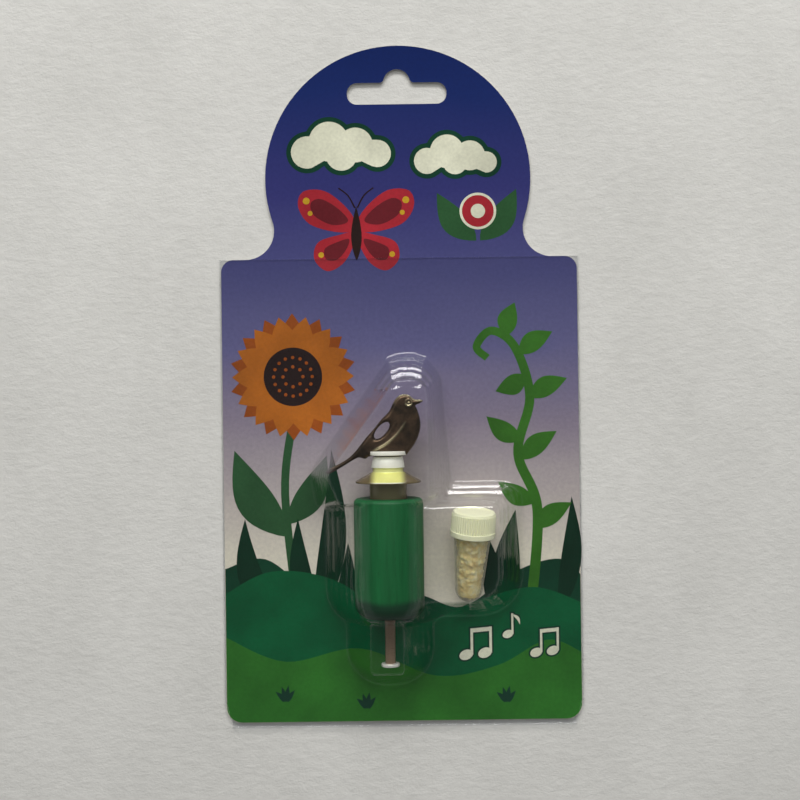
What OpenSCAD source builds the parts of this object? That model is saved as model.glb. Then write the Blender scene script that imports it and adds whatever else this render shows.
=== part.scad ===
// A twist bird call in its hanging pack: printed card, clear slide-on blister,
// turned wooden barrel with a bird-topped metal plug, and a small vial of rosin.
// The pack lies on its back. X runs across it, Y up the card and Z out of its front.
// The origin is the middle of the pack's outline, on the surface that it lies on.

/* [Pack] */
// Width over the blister's folded sides
pack_w = 115.5; // [112:0.5:125]
// Height from the foot fold to the top of the card's head
pack_h = 218.9; // [214:0.1:225]
// Height of the blister, from its foot fold to its open top edge
blister_h = 150.65; // [148:0.05:155]
// Thickness of the clear sheet
sheet_t = 0.35; // [0.2:0.05:0.5]
// Width of the edges folded behind the card
flap_w = 7; // [4:0.5:12]
// Width of the cut at each lower corner of the blister
corner_cut_w = 2.5; // [1.5:0.1:4]
// Height of that cut
corner_cut_h = 8; // [5:0.5:12]

/* [Card] */
// Thickness of the board
card_t = 0.6; // [0.4:0.05:0.9]
// Free space between the board and the sheet, above it and below it
slide_gap = 0.15; // [0.1:0.01:0.25]
// Free space between the board's sides and the folds
side_gap = 0.15; // [0.1:0.01:0.4]
// Gap between the board's lower edge and the foot fold
foot_gap = 1.6; // [1:0.1:3]
// Radius of the round head
head_r = 42.6; // [38:0.1:44]
// Radius of the hollow between the head and each shoulder
neck_r = 9.3; // [6:0.1:10]
// Radius of the shoulder corners
shoulder_r = 3.9; // [2:0.1:6]
// Radius of the lower corners
foot_r = 5; // [3:0.1:8]

/* [Hanger slot] */
// Width of the slot
slot_w = 32; // [26:0.5:36]
// Height of the slot
slot_h = 6.9; // [5:0.1:8]
// Radius of the slot's corners
slot_r = 3.2; // [1:0.1:3.4]
// Distance from the top of the head to the slot
slot_drop = 11.9; // [9:0.1:16]
// Radius of the round bump over the slot
bump_r = 4.3; // [3:0.1:5.5]
// Radius where the bump runs into the slot
bump_fillet_r = 1.6; // [0.8:0.1:2.5]

/* [Barrel] */
// Diameter of the barrel
barrel_d = 21.7; // [20:0.1:22.5]
// Length of the barrel
barrel_len = 36.85; // [34:0.05:37.5]
// Radius round the barrel's foot
barrel_foot_r = 4; // [2:0.1:5]
// Bevel at the barrel's mouth
mouth_bevel = 0.9; // [0.4:0.1:1.5]
// Distance of the call's axis to the left of the pack's middle
call_left = 4.2; // [3:0.1:5]
// Height of the barrel's mouth above the foot fold
mouth_up = 74.5; // [74:0.05:76]

/* [Plug] */
// Diameter of the stem
stem_d = 11.7; // [9:0.1:13]
// Length of stem that shows above the barrel
stem_show = 4.9; // [2:0.1:6]
// Length of stem inside the barrel
stem_in = 24; // [16:0.5:26]
// Running clearance between the stem and its bore, on the radius
stem_fit = 0.05; // [0.03:0.01:0.1]
// Diameter of the flange
flange_d = 20.4; // [16:0.1:21]
// Thickness of the flange at its rim
flange_rim_t = 0.5; // [0.3:0.05:0.8]
// Height of the flange's cone
flange_cone_h = 2.7; // [1.5:0.1:3.5]
// Diameter of the waist over the flange
waist_d = 9.6; // [8:0.1:11]
// Height of the waist
waist_h = 1.5; // [1:0.1:2.5]
// Diameter at the foot of the spool
spool_foot_d = 10.4; // [9:0.1:12]
// Diameter at the top of the spool
spool_top_d = 9.2; // [8:0.1:11]
// Height of the spool
spool_h = 3.35; // [2:0.05:4]

/* [Bird] */
// Width of the bird, from tail tip to beak tip
bird_w = 30.7; // [29:0.1:32]
// Height of the bird, from tail to crown
bird_h = 24.4; // [23:0.1:26]
// Distance of the tail tip from the call's axis
tail_reach = 19.4; // [18.5:0.1:20]
// Drop of the tail below the bird's seat on the plug
tail_drop = 5; // [3:0.1:5.5]
// Thickness of the casting in the middle of the body
bird_t = 4.8; // [3.5:0.1:6]
// Thickness of the casting at the tail tip
tail_t = 1.5; // [1:0.1:2]
// Length of the oval opening between wing and back
wing_gap_len = 6.6; // [5:0.1:7]
// Width of the oval opening
wing_gap_w = 2.9; // [2:0.1:3]
// Radius of the wing's curve
wing_r = 18; // [16:0.5:20]
// Radius of the raised wing edge
wing_edge_r = 0.95; // [0.6:0.05:1.2]
// Radius of the eye
eye_r = 0.9; // [0.6:0.05:1.1]
// Diameter of the ring at the bird's foot
ring_d = 11.5; // [10:0.1:12.5]
// Height of that ring
ring_h = 1.2; // [0.8:0.1:1.6]
// Diameter of the boss under the ring
boss_d = 8.6; // [7:0.1:9.2]
// Height of that boss
boss_h = 0.5; // [0.3:0.05:0.8]
// Diameter of the hidden stud that joins bird and plug
stud_d = 2.4; // [1.6:0.1:3]
// Length of the stud in the plug
stud_in = 5; // [3:0.5:7]
// Length of the stud in the bird
stud_up = 4; // [2.5:0.5:5]

/* [Retaining pin] */
// Diameter of the pin
pin_d = 3.2; // [2.4:0.1:3.6]
// Length of pin that shows below the barrel
pin_show = 13.9; // [12:0.1:14.2]
// Length of pin set into the stem
pin_set = 6; // [4:0.5:8]
// Running clearance between the pin and the barrel, on the radius
pin_fit = 0.08; // [0.05:0.01:0.1]
// Diameter of the pin's head
pin_head_d = 5.7; // [4.5:0.1:6.5]
// Thickness of the pin's head
pin_head_t = 1.6; // [1:0.1:1.8]
// Gap between parts pressed together, on the radius
press_gap = 0.02; // [0.01:0.01:0.04]

/* [Vial] */
// Length of the closed vial
vial_len = 29.6; // [28.5:0.1:30]
// Diameter of the vial's body under the cap
vial_d = 11.6; // [10.8:0.1:12.4]
// Radius of the vial's round tip
vial_tip_r = 4.4; // [3.8:0.1:5]
// Wall of the vial
vial_wall = 0.8; // [0.5:0.05:1]
// Diameter of the vial's neck, over its thread
neck_d = 10.7; // [10:0.1:11]
// Diameter of the cap over its ribs
cap_d = 14.2; // [13.6:0.1:14.6]
// Height of the cap
cap_h = 8.1; // [7:0.1:9]
// Height of the smooth rim below the ribs
cap_rim_h = 1.6; // [1:0.1:2.5]
// Height of the bevelled crown above the ribs
cap_crown_h = 0.9; // [0.6:0.1:1.2]
// Thickness of the cap's top
cap_top_t = 1.4; // [1.1:0.1:1.8]
// Depth of the ribs
rib_depth = 0.22; // [0.15:0.01:0.3]
// Number of ribs round the cap
rib_count = 54; // [36:2:60]
// Clearance of the cap's thread, on the radius
thread_fit = 0.1; // [0.08:0.01:0.15]
// Thickness of the sealing disc
seal_t = 0.9; // [0.6:0.05:1.1]
// Gap between the disc and what it seals
seal_gap = 0.05; // [0.04:0.01:0.1]
// Gap between the vial's shoulder and the cap
cap_seat_gap = 0.3; // [0.2:0.05:0.5]
// Gap between the rosin and the vial's wall
rosin_gap = 0.1; // [0.05:0.01:0.2]
// Height of the rosin in the vial
rosin_h = 23.5; // [18:0.5:24]
// Distance of the vial's tip to the right of the pack's middle
vial_right = 20.6; // [20:0.1:21.5]
// Height of the vial's tip above the foot fold
vial_up = 40.85; // [40.5:0.05:41.5]
// Lean of the vial to the right, in degrees
vial_lean = 4; // [2:0.5:5]
// Tilt of the vial, which rests on its tip and its wider cap, in degrees
vial_tilt = 9; // [8:0.5:10]

/* [Blister cavity] */
// Gap between the contents and what they lie on or under
rest_gap = 0.3; // [0.25:0.05:0.4]
// Reach of the barrel's bay to each side at the card, past the barrel
bay_side = 9.65; // [8:0.05:11]
// Reach of the barrel's bay below the barrel's foot, at the card
bay_foot = 5.2; // [4:0.1:6]
// Reach of the barrel's bay above the mouth, at the card
bay_head = 7.2; // [6:0.1:8]
// Depth of the pin's bay, from the sheet to its top
pin_bay_depth = 15.75; // [15.2:0.05:17]
// Width of the pin's bay at the card
pin_bay_w = 28; // [26:0.2:29]
// Width of its top
pin_bay_top_w = 10.5; // [8.5:0.5:12]
// Reach of the pin's bay past the pin's head, at the card
pin_bay_reach = 7.6; // [6.5:0.1:8.5]
// Reach past the pin's head at its top
pin_bay_top_reach = 1.9; // [1.8:0.1:2.5]
// Depth of the vial's bay, from the sheet to its top
vial_bay_depth = 16.6; // [16.4:0.05:18]
// Slope of the wall beside the vial, from the card to the top
vial_bay_draft = 8.3; // [7:0.1:9]
// Slope of the wall under its tip
vial_bay_foot_draft = 6.2; // [5:0.1:7]
// Slope of the wall over its cap
vial_bay_head_draft = 5; // [4:0.1:5.5]
// Free space between the cap and the bay's wall, at the card
vial_bay_side = 9.2; // [8:0.1:10]
// Reach of the vial's bay past the cap, at the card
vial_bay_head = 7.8; // [7.4:0.1:9]
// Reach of the vial's bay past the tip, at the card
vial_bay_foot = 4.9; // [4.5:0.1:6]
// Clearance over the flange
flange_gap = 0.45; // [0.3:0.05:0.6]

/* [Hidden] */
$fn = 96;

// Overrun of every cut
cut = 0.5;
// Bite of a blend's circle into the edges that it runs into, so that they cross
blend_bite = 0.01;
// Largest rise of the head's lower centre over the hollows' centres, as a share of their radii
neck_reach_share = 0.6;
// Facets of the rounds in the blister's drafted bays
bay_facets = 24;
// Facets of the large spheres that give the bird its shallow domes
dome_facets = 480;
// Corner radii of the bays at the card and at their tops
bay_foot_r = 5;
bay_low_r = 13.5;
bay_top_r = 2.5;
vial_bay_top_low_r = 8;
bird_bay_foot_r = 2.5;
bird_bay_top_r = 2;
pin_bay_foot_r = 12.5;

// Levels through the folded sheet and the card
card_back_z = sheet_t + slide_gap;
card_front_z = card_back_z + card_t;
front_z = card_front_z + slide_gap;
bend_r = (front_z + sheet_t) / 2;
bend_inner_r = bend_r - sheet_t;
foot_y = -pack_h / 2;
blister_top_y = foot_y + blister_h;
fold_x = pack_w / 2 - bend_r;

// The card's panel reaches into the round of each side fold
card_half_w = fold_x + sqrt(pow(bend_inner_r, 2) - pow(card_t / 2, 2)) - side_gap;
card_foot_y = foot_y + sheet_t + foot_gap;
head_y = pack_h / 2 - head_r;
shoulder_y = blister_top_y;
neck_y = shoulder_y + neck_r;
// A head that stands far above the shoulders goes on straight down to a lower centre
head_low_y = min(head_y, neck_y + (head_r + neck_r) * neck_reach_share);
neck_x = sqrt(pow(head_r + neck_r, 2) - pow(head_low_y - neck_y, 2));
slot_top_y = head_y + head_r - slot_drop;
bump_fillet_x = sqrt(pow(bump_r + bump_fillet_r, 2) - pow(bump_fillet_r, 2));

// The call lies just over the card, along the pack
barrel_r = barrel_d / 2;
call_z = card_front_z + rest_gap + barrel_r;
mouth_y = foot_y + mouth_up;
bore_r = stem_d / 2 + stem_fit;
bore_depth = stem_in + stem_show + rest_gap;
cone_z = stem_show + flange_rim_t;
waist_z = cone_z + flange_cone_h;
spool_z = waist_z + waist_h;
seat_z = spool_z + spool_h;
pin_head_z = -barrel_len - pin_show;

// The vial rests on its tip and on the rim of its cap
cap_z = vial_len - cap_h;
tip_drop = vial_tip_r * (1 - sin(vial_tilt));
cap_drop = cap_d / 2 * cos(vial_tilt) - cap_z * sin(vial_tilt);
vial_z = card_front_z + rest_gap + max(tip_drop, cap_drop);
vial_y = foot_y + vial_up;
shoulder_z = cap_z - cap_seat_gap;
seal_z = vial_len - cap_top_t - seal_gap - seal_t;
neck_top_z = seal_z - seal_gap;
cap_bore_r = neck_d / 2 + thread_fit;

// The bird's outline as shares of its width and height, clockwise from the tail tip
bird_shares = [
    [0, 0.02], [0.05, 0.055], [0.14, 0.11], [0.235, 0.19], [0.305, 0.28], [0.365, 0.375],
    [0.42, 0.46], [0.495, 0.565], [0.57, 0.68], [0.645, 0.775], [0.68, 0.86], [0.71, 0.93],
    [0.755, 0.985], [0.81, 1], [0.86, 0.985], [0.9, 0.94], [0.955, 0.93], [1, 0.915],
    [0.96, 0.88], [0.915, 0.855], [0.93, 0.82], [0.955, 0.725], [0.968, 0.62], [0.955, 0.51],
    [0.91, 0.375], [0.85, 0.275], [0.8, 0.22], [0.6, 0.215], [0.456, 0.215], [0.4, 0.18],
    [0.345, 0.2], [0.305, 0.19], [0.245, 0.15], [0.135, 0.07], [0.035, 0]
];
// Places on the bird, as shares of its width and height
body_share = [0.72, 0.55];
wing_gap_share = [0.573, 0.541];
wing_centre_share = [0.285, 0.992];
eye_share = [0.849, 0.891];
// The wing's edge runs between these angles about the centre of its curve
wing_from = -69;
wing_to = -31;
// Slant of the oval opening
wing_gap_turn = 48;
// Points that the curve adds between two outline points
outline_steps = 3;

// The bird's bay, as corner centres in shares of the bird's width and height
bird_bay_foot_shares = [[-0.095, -0.01], [0.69, 1.375], [0.995, 1.375], [1.11, 1.19], [1.21, -0.25], [-0.045, -0.37]];
bird_bay_top_shares = [[0.1, -0.02], [0.73, 1.075], [0.93, 1.075], [0.97, 0.965], [0.98, -0.25], [0.18, -0.29]];

// Smooth closed curve through a ring of points
function curve_point(a, b, c, d, t) =
    (2 * b + (c - a) * t + (2 * a - 5 * b + 4 * c - d) * t * t + (3 * b - a - 3 * c + d) * t * t * t) / 2;
function smooth_ring(points, steps) = [
    for (i = [0:len(points) - 1], k = [0:steps - 1])
        curve_point(
            points[(i + len(points) - 1) % len(points)],
            points[i],
            points[(i + 1) % len(points)],
            points[(i + 2) % len(points)],
            k / steps)
];
function on_bird(share) = [share[0] * bird_w, share[1] * bird_h];

// Ribbed outline of the cap, two points on each rib's top and two in each groove
function rib_ring(outer, depth, count) = [
    for (i = [0:count - 1], k = [0:3])
        let (a = 360 * (i + k / 4) / count, r = k < 2 ? outer : outer - depth)
            [r * cos(a), r * sin(a)]
];

// Moves a turned piece's own axis onto the call, with the barrel's mouth at zero
module on_call() {
    translate([-call_left, mouth_y, call_z]) rotate([-90, 0, 0]) children();
}

// Moves a turned piece's own axis onto the vial, with the tip at zero
module on_vial() {
    translate([vial_right, vial_y, vial_z]) rotate([vial_tilt - 90, 0, -vial_lean]) children();
}

// Moves a flat drawing of the bird to its place in front of the pack
module on_seat() {
    translate([-call_left - tail_reach, mouth_y + seat_z - tail_drop, call_z]) children();
}

module rounded_box_outline(x0, x1, y0, y1, low_r, high_r) {
    union() {
        translate([x0 + low_r, y0 + low_r]) circle(low_r);
        translate([x1 - low_r, y0 + low_r]) circle(low_r);
        translate([x0 + high_r, y1 - high_r]) circle(high_r);
        translate([x1 - high_r, y1 - high_r]) circle(high_r);
        polygon([
            [x0 + low_r, y0], [x1 - low_r, y0], [x1, y0 + low_r], [x1, y1 - high_r],
            [x1 - high_r, y1], [x0 + high_r, y1], [x0, y1 - high_r], [x0, y0 + low_r]
        ]);
    }
}

// Slot with its round bump, drawn about the middle of the slot's top edge
module hanger_slot_outline() {
    difference() {
        union() {
            rounded_box_outline(-slot_w / 2, slot_w / 2, -slot_h, 0, slot_r, slot_r);
            circle(bump_r);
            polygon([[-bump_fillet_x, bump_fillet_r], [-bump_fillet_x, -slot_r],
                [bump_fillet_x, -slot_r], [bump_fillet_x, bump_fillet_r], [0, 0]]);
        }
        for (side = [-1, 1])
            translate([side * bump_fillet_x, bump_fillet_r]) circle(bump_fillet_r + blend_bite);
    }
}

module card_outline() {
    difference() {
        union() {
            rounded_box_outline(-card_half_w, card_half_w, card_foot_y, shoulder_y, foot_r, shoulder_r);
            translate([0, head_y]) circle(head_r);
            if (head_low_y < head_y) {
                translate([0, head_low_y]) circle(head_r);
                translate([-head_r, head_low_y]) square([2 * head_r, head_y - head_low_y]);
            }
            polygon([[0, head_low_y], [-neck_x, neck_y], [-neck_x, shoulder_y - shoulder_r],
                [neck_x, shoulder_y - shoulder_r], [neck_x, neck_y]]);
        }
        for (side = [-1, 1])
            translate([side * neck_x, neck_y]) circle(neck_r + blend_bite);
    }
}

module backing_card() {
    color("mediumslateblue")
        translate([0, 0, card_back_z]) linear_extrude(card_t) difference() {
            card_outline();
            translate([0, slot_top_y]) hanger_slot_outline();
        }
}

// Half round bend of the sheet with the flap that lies behind the card
module fold_section() {
    intersection() {
        difference() {
            circle(bend_r);
            circle(bend_inner_r);
        }
        translate([0, -bend_r]) square([bend_r, 2 * bend_r]);
    }
    translate([-flap_w, -bend_r]) square([flap_w, sheet_t]);
    translate([-flap_w, bend_inner_r]) square([flap_w, sheet_t]);
}

// Fold along one side, from the corner cut to the open top
module side_fold() {
    fold_len = blister_h - corner_cut_h;
    translate([fold_x, blister_top_y, bend_r])
        rotate([90, 0, 0]) linear_extrude(fold_len) fold_section();
}

// Fold along the foot, between the corner cuts
module foot_fold() {
    half_len = pack_w / 2 - corner_cut_w;
    translate([-half_len, foot_y + bend_r, bend_r])
        rotate([90, 0, 90]) linear_extrude(2 * half_len) mirror([1, 0]) fold_section();
}

// Flat front of the sheet, with its lower corners cut
module front_sheet() {
    cut_y = foot_y + corner_cut_h;
    cut_x = pack_w / 2 - corner_cut_w;
    translate([0, 0, front_z]) linear_extrude(sheet_t) polygon([
        [-fold_x, blister_top_y], [-fold_x, cut_y], [-cut_x, foot_y + bend_r],
        [cut_x, foot_y + bend_r], [fold_x, cut_y], [fold_x, blister_top_y]
    ]);
}

// A post at a bay's lower corner, reaching from below the sheet's back to its face
module bay_foot_post(place, radius, grow) {
    translate([place[0], place[1], front_z - cut])
        cylinder(r = radius + grow, h = cut, $fn = bay_facets);
}

// A ball at a bay's upper corner, whose top touches the bay's height
module bay_top_ball(place, radius, top_z, grow) {
    translate([place[0], place[1], top_z - radius]) sphere(r = radius + grow, $fn = bay_facets);
}

// A disc with a rounded rim at a bay's upper corner, whose top touches the bay's height
module bay_top_disc(place, radius, top_z, grow) {
    translate([place[0], place[1], top_z - bay_top_r]) rotate_extrude($fn = bay_facets)
        translate([radius - bay_top_r, 0]) circle(bay_top_r + grow, $fn = bay_facets);
}

// Bay round the barrel: a round top over a wide foot
module barrel_bay(grow) {
    bay_r = barrel_r + rest_gap;
    half_w = barrel_r + bay_side;
    low_y = mouth_y - barrel_len - bay_foot;
    round_len = barrel_len - barrel_foot_r;
    hull() {
        for (side = [-1, 1]) {
            bay_foot_post([-call_left + side * (half_w - bay_low_r), low_y + bay_low_r], bay_low_r, grow);
            bay_foot_post([-call_left + side * (half_w - bay_foot_r), mouth_y + bay_head - bay_foot_r],
                bay_foot_r, grow);
        }
        on_call() translate([0, 0, -round_len])
            cylinder(r = bay_r + grow, h = round_len + bay_head / 2, $fn = 2 * bay_facets);
        on_call() translate([0, 0, -barrel_len - rest_gap - grow])
            cylinder(r = bay_r - barrel_foot_r / 3 + grow, h = rest_gap, $fn = 2 * bay_facets);
    }
}

// Bay round the bird and the flange, sloping away on every side
module bird_bay(grow) {
    top_z = call_z + flange_d / 2 + flange_gap;
    on_foot = [for (s = bird_bay_foot_shares) on_bird(s) + [-call_left - tail_reach, mouth_y + seat_z - tail_drop]];
    on_top = [for (s = bird_bay_top_shares) on_bird(s) + [-call_left - tail_reach, mouth_y + seat_z - tail_drop]];
    hull() {
        for (place = on_foot) bay_foot_post(place, bird_bay_foot_r, grow);
        for (place = on_top) bay_top_ball(place, bird_bay_top_r, top_z, grow);
    }
}

// Bay beside the barrel, round the vial
module vial_bay(grow) {
    right_x = vial_right + cap_z * sin(vial_lean) + cap_d / 2 + vial_bay_side;
    top_y = vial_y + vial_len * cos(vial_tilt) + vial_bay_head;
    low_y = vial_y - vial_bay_foot;
    top_z = front_z + vial_bay_depth;
    edge_x = right_x - vial_bay_draft;
    edge_low_y = low_y + vial_bay_foot_draft;
    edge_top_y = top_y - vial_bay_head_draft;
    hull() {
        for (place = [[-call_left, low_y + bay_foot_r], [-call_left, top_y - bay_foot_r],
            [right_x - bay_foot_r, top_y - bay_foot_r]])
            bay_foot_post(place, bay_foot_r, grow);
        bay_foot_post([right_x - bay_low_r, low_y + bay_low_r], bay_low_r, grow);
        for (place = [[-call_left, edge_low_y + bay_top_r], [-call_left, edge_top_y - bay_top_r],
            [edge_x - bay_top_r, edge_top_y - bay_top_r]])
            bay_top_ball(place, bay_top_r, top_z, grow);
        bay_top_disc([edge_x - vial_bay_top_low_r, edge_low_y + vial_bay_top_low_r], vial_bay_top_low_r, top_z, grow);
    }
}

// Bay round the pin, a drafted box with a round foot, whose upper end lies inside the barrel's bay
module pin_bay(grow) {
    half_w = pin_bay_w / 2 + grow;
    half_top_w = pin_bay_top_w / 2 + grow;
    below = pin_show + pin_head_t + grow;
    translate([-call_left, mouth_y - barrel_len, front_z - cut])
        linear_extrude(pin_bay_depth + cut + grow, slices = 1, $fn = bay_facets,
            scale = [half_top_w / half_w, (below + pin_bay_top_reach) / (below + pin_bay_reach)])
            rounded_box_outline(-half_w, half_w, -below - pin_bay_reach, 0, pin_bay_foot_r, cut);
}

module bays(grow) {
    barrel_bay(grow);
    bird_bay(grow);
    vial_bay(grow);
    pin_bay(grow);
}

module blister_shell() {
    color("whitesmoke", 0.4) difference() {
        union() {
            side_fold();
            mirror([1, 0, 0]) side_fold();
            foot_fold();
            front_sheet();
            intersection() {
                bays(sheet_t);
                translate([-pack_w / 2, foot_y, front_z]) cube([pack_w, blister_h, pack_w]);
            }
        }
        bays(0);
    }
}

module barrel() {
    color("seagreen") on_call() rotate_extrude() difference() {
        union() {
            translate([0, -barrel_len + barrel_foot_r]) square([barrel_r, barrel_len - barrel_foot_r - mouth_bevel]);
            translate([0, -barrel_len]) square([barrel_r - barrel_foot_r, barrel_foot_r]);
            intersection() {
                translate([barrel_r - barrel_foot_r, -barrel_len + barrel_foot_r]) circle(barrel_foot_r);
                translate([0, -barrel_len]) square([barrel_r, barrel_foot_r]);
            }
            polygon([[0, -mouth_bevel], [barrel_r, -mouth_bevel], [barrel_r - mouth_bevel, 0], [0, 0]]);
        }
        translate([0, -bore_depth]) square([bore_r, bore_depth + cut]);
        translate([0, -barrel_len - cut]) square([pin_d / 2 + pin_fit, barrel_len + cut]);
    }
}

module flanged_plug() {
    color("darkgoldenrod") on_call() rotate_extrude() difference() {
        polygon([
            [0, -stem_in], [stem_d / 2 - mouth_bevel, -stem_in], [stem_d / 2, -stem_in + mouth_bevel],
            [stem_d / 2, stem_show], [flange_d / 2, stem_show], [flange_d / 2, cone_z],
            [waist_d / 2 + flange_rim_t, waist_z], [waist_d / 2, waist_z], [waist_d / 2, spool_z],
            [spool_foot_d / 2, spool_z], [spool_top_d / 2, seat_z], [0, seat_z]
        ]);
        translate([0, seat_z - stud_in]) square([stud_d / 2 + press_gap, stud_in + cut]);
        translate([0, -stem_in - cut]) square([pin_d / 2 + press_gap, pin_set + cut]);
    }
}

module finial_stud() {
    color("gray") on_call() translate([0, 0, seat_z - stud_in]) cylinder(d = stud_d, h = stud_in + stud_up);
}

// Raised edge of the wing, on one face of the bird
module wing_edge() {
    reach = 2 * wing_r;
    translate(on_bird(wing_centre_share)) intersection() {
        rotate_extrude() translate([wing_r, 0]) circle(wing_edge_r);
        translate([0, 0, -wing_edge_r - cut]) linear_extrude(2 * (wing_edge_r + cut)) polygon([
            [0, 0], [reach * cos(wing_from), reach * sin(wing_from)], [reach * cos(wing_to), reach * sin(wing_to)]
        ]);
    }
}

module bird_figure() {
    drop = (bird_t - tail_t) / 2;
    reach = norm(on_bird(body_share));
    lens_r = (reach * reach + drop * drop) / (2 * drop);
    wing_rise = (bird_t - wing_edge_r) / 2;
    half_gap = (wing_gap_len - wing_gap_w) / 2;
    difference() {
        union() {
            intersection() {
                translate([0, 0, -bird_t / 2]) linear_extrude(bird_t)
                    polygon(smooth_ring([for (s = bird_shares) on_bird(s)], outline_steps));
                translate(on_bird(body_share)) translate([0, 0, bird_t / 2 - lens_r])
                    sphere(lens_r, $fn = dome_facets);
                translate(on_bird(body_share)) translate([0, 0, lens_r - bird_t / 2])
                    sphere(lens_r, $fn = dome_facets);
            }
            translate([0, 0, wing_rise]) wing_edge();
            translate([0, 0, -wing_rise]) wing_edge();
            translate(on_bird(eye_share)) cylinder(r = eye_r, h = bird_t, center = true);
        }
        translate(on_bird(wing_gap_share)) rotate([0, 0, wing_gap_turn])
            translate([0, 0, -bird_t]) linear_extrude(2 * bird_t) {
                square([2 * half_gap, wing_gap_w], center = true);
                for (side = [-1, 1]) translate([side * half_gap, 0]) circle(d = wing_gap_w);
            }
    }
}

module bird_finial() {
    color("darkolivegreen") difference() {
        union() {
            on_seat() bird_figure();
            on_call() rotate_extrude() polygon([
                [0, seat_z], [boss_d / 2, seat_z], [boss_d / 2, seat_z + boss_h], [ring_d / 2, seat_z + boss_h],
                [ring_d / 2, seat_z + boss_h + ring_h], [0, seat_z + boss_h + ring_h]
            ]);
        }
        on_call() translate([0, 0, seat_z - cut]) cylinder(r = stud_d / 2 + press_gap, h = stud_up + cut);
    }
}

module retaining_pin() {
    color("silver") on_call() {
        translate([0, 0, pin_head_z]) cylinder(d = pin_d, h = pin_set - stem_in - pin_head_z);
        translate([0, 0, pin_head_z - pin_head_t]) cylinder(d = pin_head_d, h = pin_head_t);
    }
}

// Outline of the vial's wall, drawn in by a wall thickness where inset is above zero
module vial_outline(inset, top_z) {
    tip_r = vial_tip_r - inset;
    intersection() {
        translate([0, vial_tip_r]) circle(tip_r);
        translate([0, inset]) square([tip_r, 2 * tip_r]);
    }
    polygon([
        [0, vial_tip_r], [tip_r, vial_tip_r], [vial_d / 2 - inset, shoulder_z - inset],
        [neck_d / 2 - inset, shoulder_z], [neck_d / 2 - inset, top_z], [0, top_z]
    ]);
}

module vial_body() {
    color("whitesmoke", 0.6) on_vial() rotate_extrude() difference() {
        vial_outline(0, neck_top_z);
        vial_outline(vial_wall, neck_top_z + cut);
    }
}

module rosin_charge() {
    color("wheat") on_vial() rotate_extrude() intersection() {
        vial_outline(vial_wall + rosin_gap, neck_top_z);
        square([vial_d, rosin_h]);
    }
}

module cap_seal() {
    color("lightgray") on_vial() translate([0, 0, seal_z]) cylinder(r = neck_d / 2, h = seal_t);
}

module vial_cap() {
    rib_top_z = vial_len - cap_crown_h;
    rim_top_z = cap_z + cap_rim_h;
    core_r = cap_d / 2 - 2 * rib_depth;
    color("ivory") on_vial() difference() {
        union() {
            translate([0, 0, rim_top_z]) linear_extrude(rib_top_z - rim_top_z)
                polygon(rib_ring((cap_d - rib_depth) / 2, rib_depth, rib_count));
            rotate_extrude() polygon([
                [0, cap_z], [cap_d / 2, cap_z], [cap_d / 2, rim_top_z], [core_r, rim_top_z],
                [core_r, rib_top_z], [cap_d / 2 - cap_crown_h, vial_len], [0, vial_len]
            ]);
        }
        translate([0, 0, cap_z - cut]) cylinder(r = cap_bore_r, h = cap_h - cap_top_t + cut);
    }
}

backing_card();
blister_shell();
barrel();
flanged_plug();
finial_stud();
bird_finial();
retaining_pin();
vial_body();
rosin_charge();
cap_seal();
vial_cap();
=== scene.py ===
"""Looks of a twist bird call in its hanging pack.

Sizes are in millimetres, in the pack's own frame: X across the pack, Y up the card and Z out of its
front. Each mesh is made in millimetres and scaled to metres when it is finished.
"""

import logging
import math
import random
from collections.abc import Callable, Iterable, Sequence
from dataclasses import dataclass
from enum import Enum
from typing import Any

import bmesh
import bpy
from mathutils import Matrix, Vector
from mathutils.kdtree import KDTree


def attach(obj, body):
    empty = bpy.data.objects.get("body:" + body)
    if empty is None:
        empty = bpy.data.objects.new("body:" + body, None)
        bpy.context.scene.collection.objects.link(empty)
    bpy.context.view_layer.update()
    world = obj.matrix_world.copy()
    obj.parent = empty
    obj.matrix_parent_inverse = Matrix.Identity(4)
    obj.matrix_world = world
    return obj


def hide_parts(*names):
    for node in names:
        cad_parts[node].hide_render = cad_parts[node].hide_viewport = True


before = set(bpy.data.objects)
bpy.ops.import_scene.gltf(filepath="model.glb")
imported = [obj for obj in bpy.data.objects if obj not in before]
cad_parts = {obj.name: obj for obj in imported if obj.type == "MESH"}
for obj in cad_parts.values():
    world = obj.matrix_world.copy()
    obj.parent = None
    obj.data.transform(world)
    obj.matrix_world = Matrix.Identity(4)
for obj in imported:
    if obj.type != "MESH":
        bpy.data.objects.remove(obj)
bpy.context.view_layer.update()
LOG = logging.getLogger("pack")

MM = 0.001
FULL_TURN = 2 * math.pi
HALF_TURN = math.pi
QUARTER_TURN = math.pi / 2
WELD = 1e-4
HAIR = 1.5e-3
HAIR_LAYERS = 5
ROUND_STEPS = 3
LEAF_STEPS = 14
CLOUD_STEPS = 180
PETALS = 14

Point = tuple[float, float]
Outline = list[Point]
Triple = tuple[float, float, float]
Mesh = bmesh.types.BMesh
Vert = bmesh.types.BMVert
Colour = tuple[float, float, float, float]


def tone(red: int, green: int, blue: int) -> Colour:
    """Turns a colour of 0 to 255 per channel into the linear one that a shader takes.

    Args:
        red: Red, as a screen shows it.
        green: Green.
        blue: Blue.

    Returns:
        The linear colour, with an alpha of 1.
    """
    parts = [c / 255 for c in (red, green, blue)]
    linear = [c / 12.92 if c <= 0.04045 else ((c + 0.055) / 1.055) ** 2.4 for c in parts]
    return (linear[0], linear[1], linear[2], 1.0)


# Places


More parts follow.
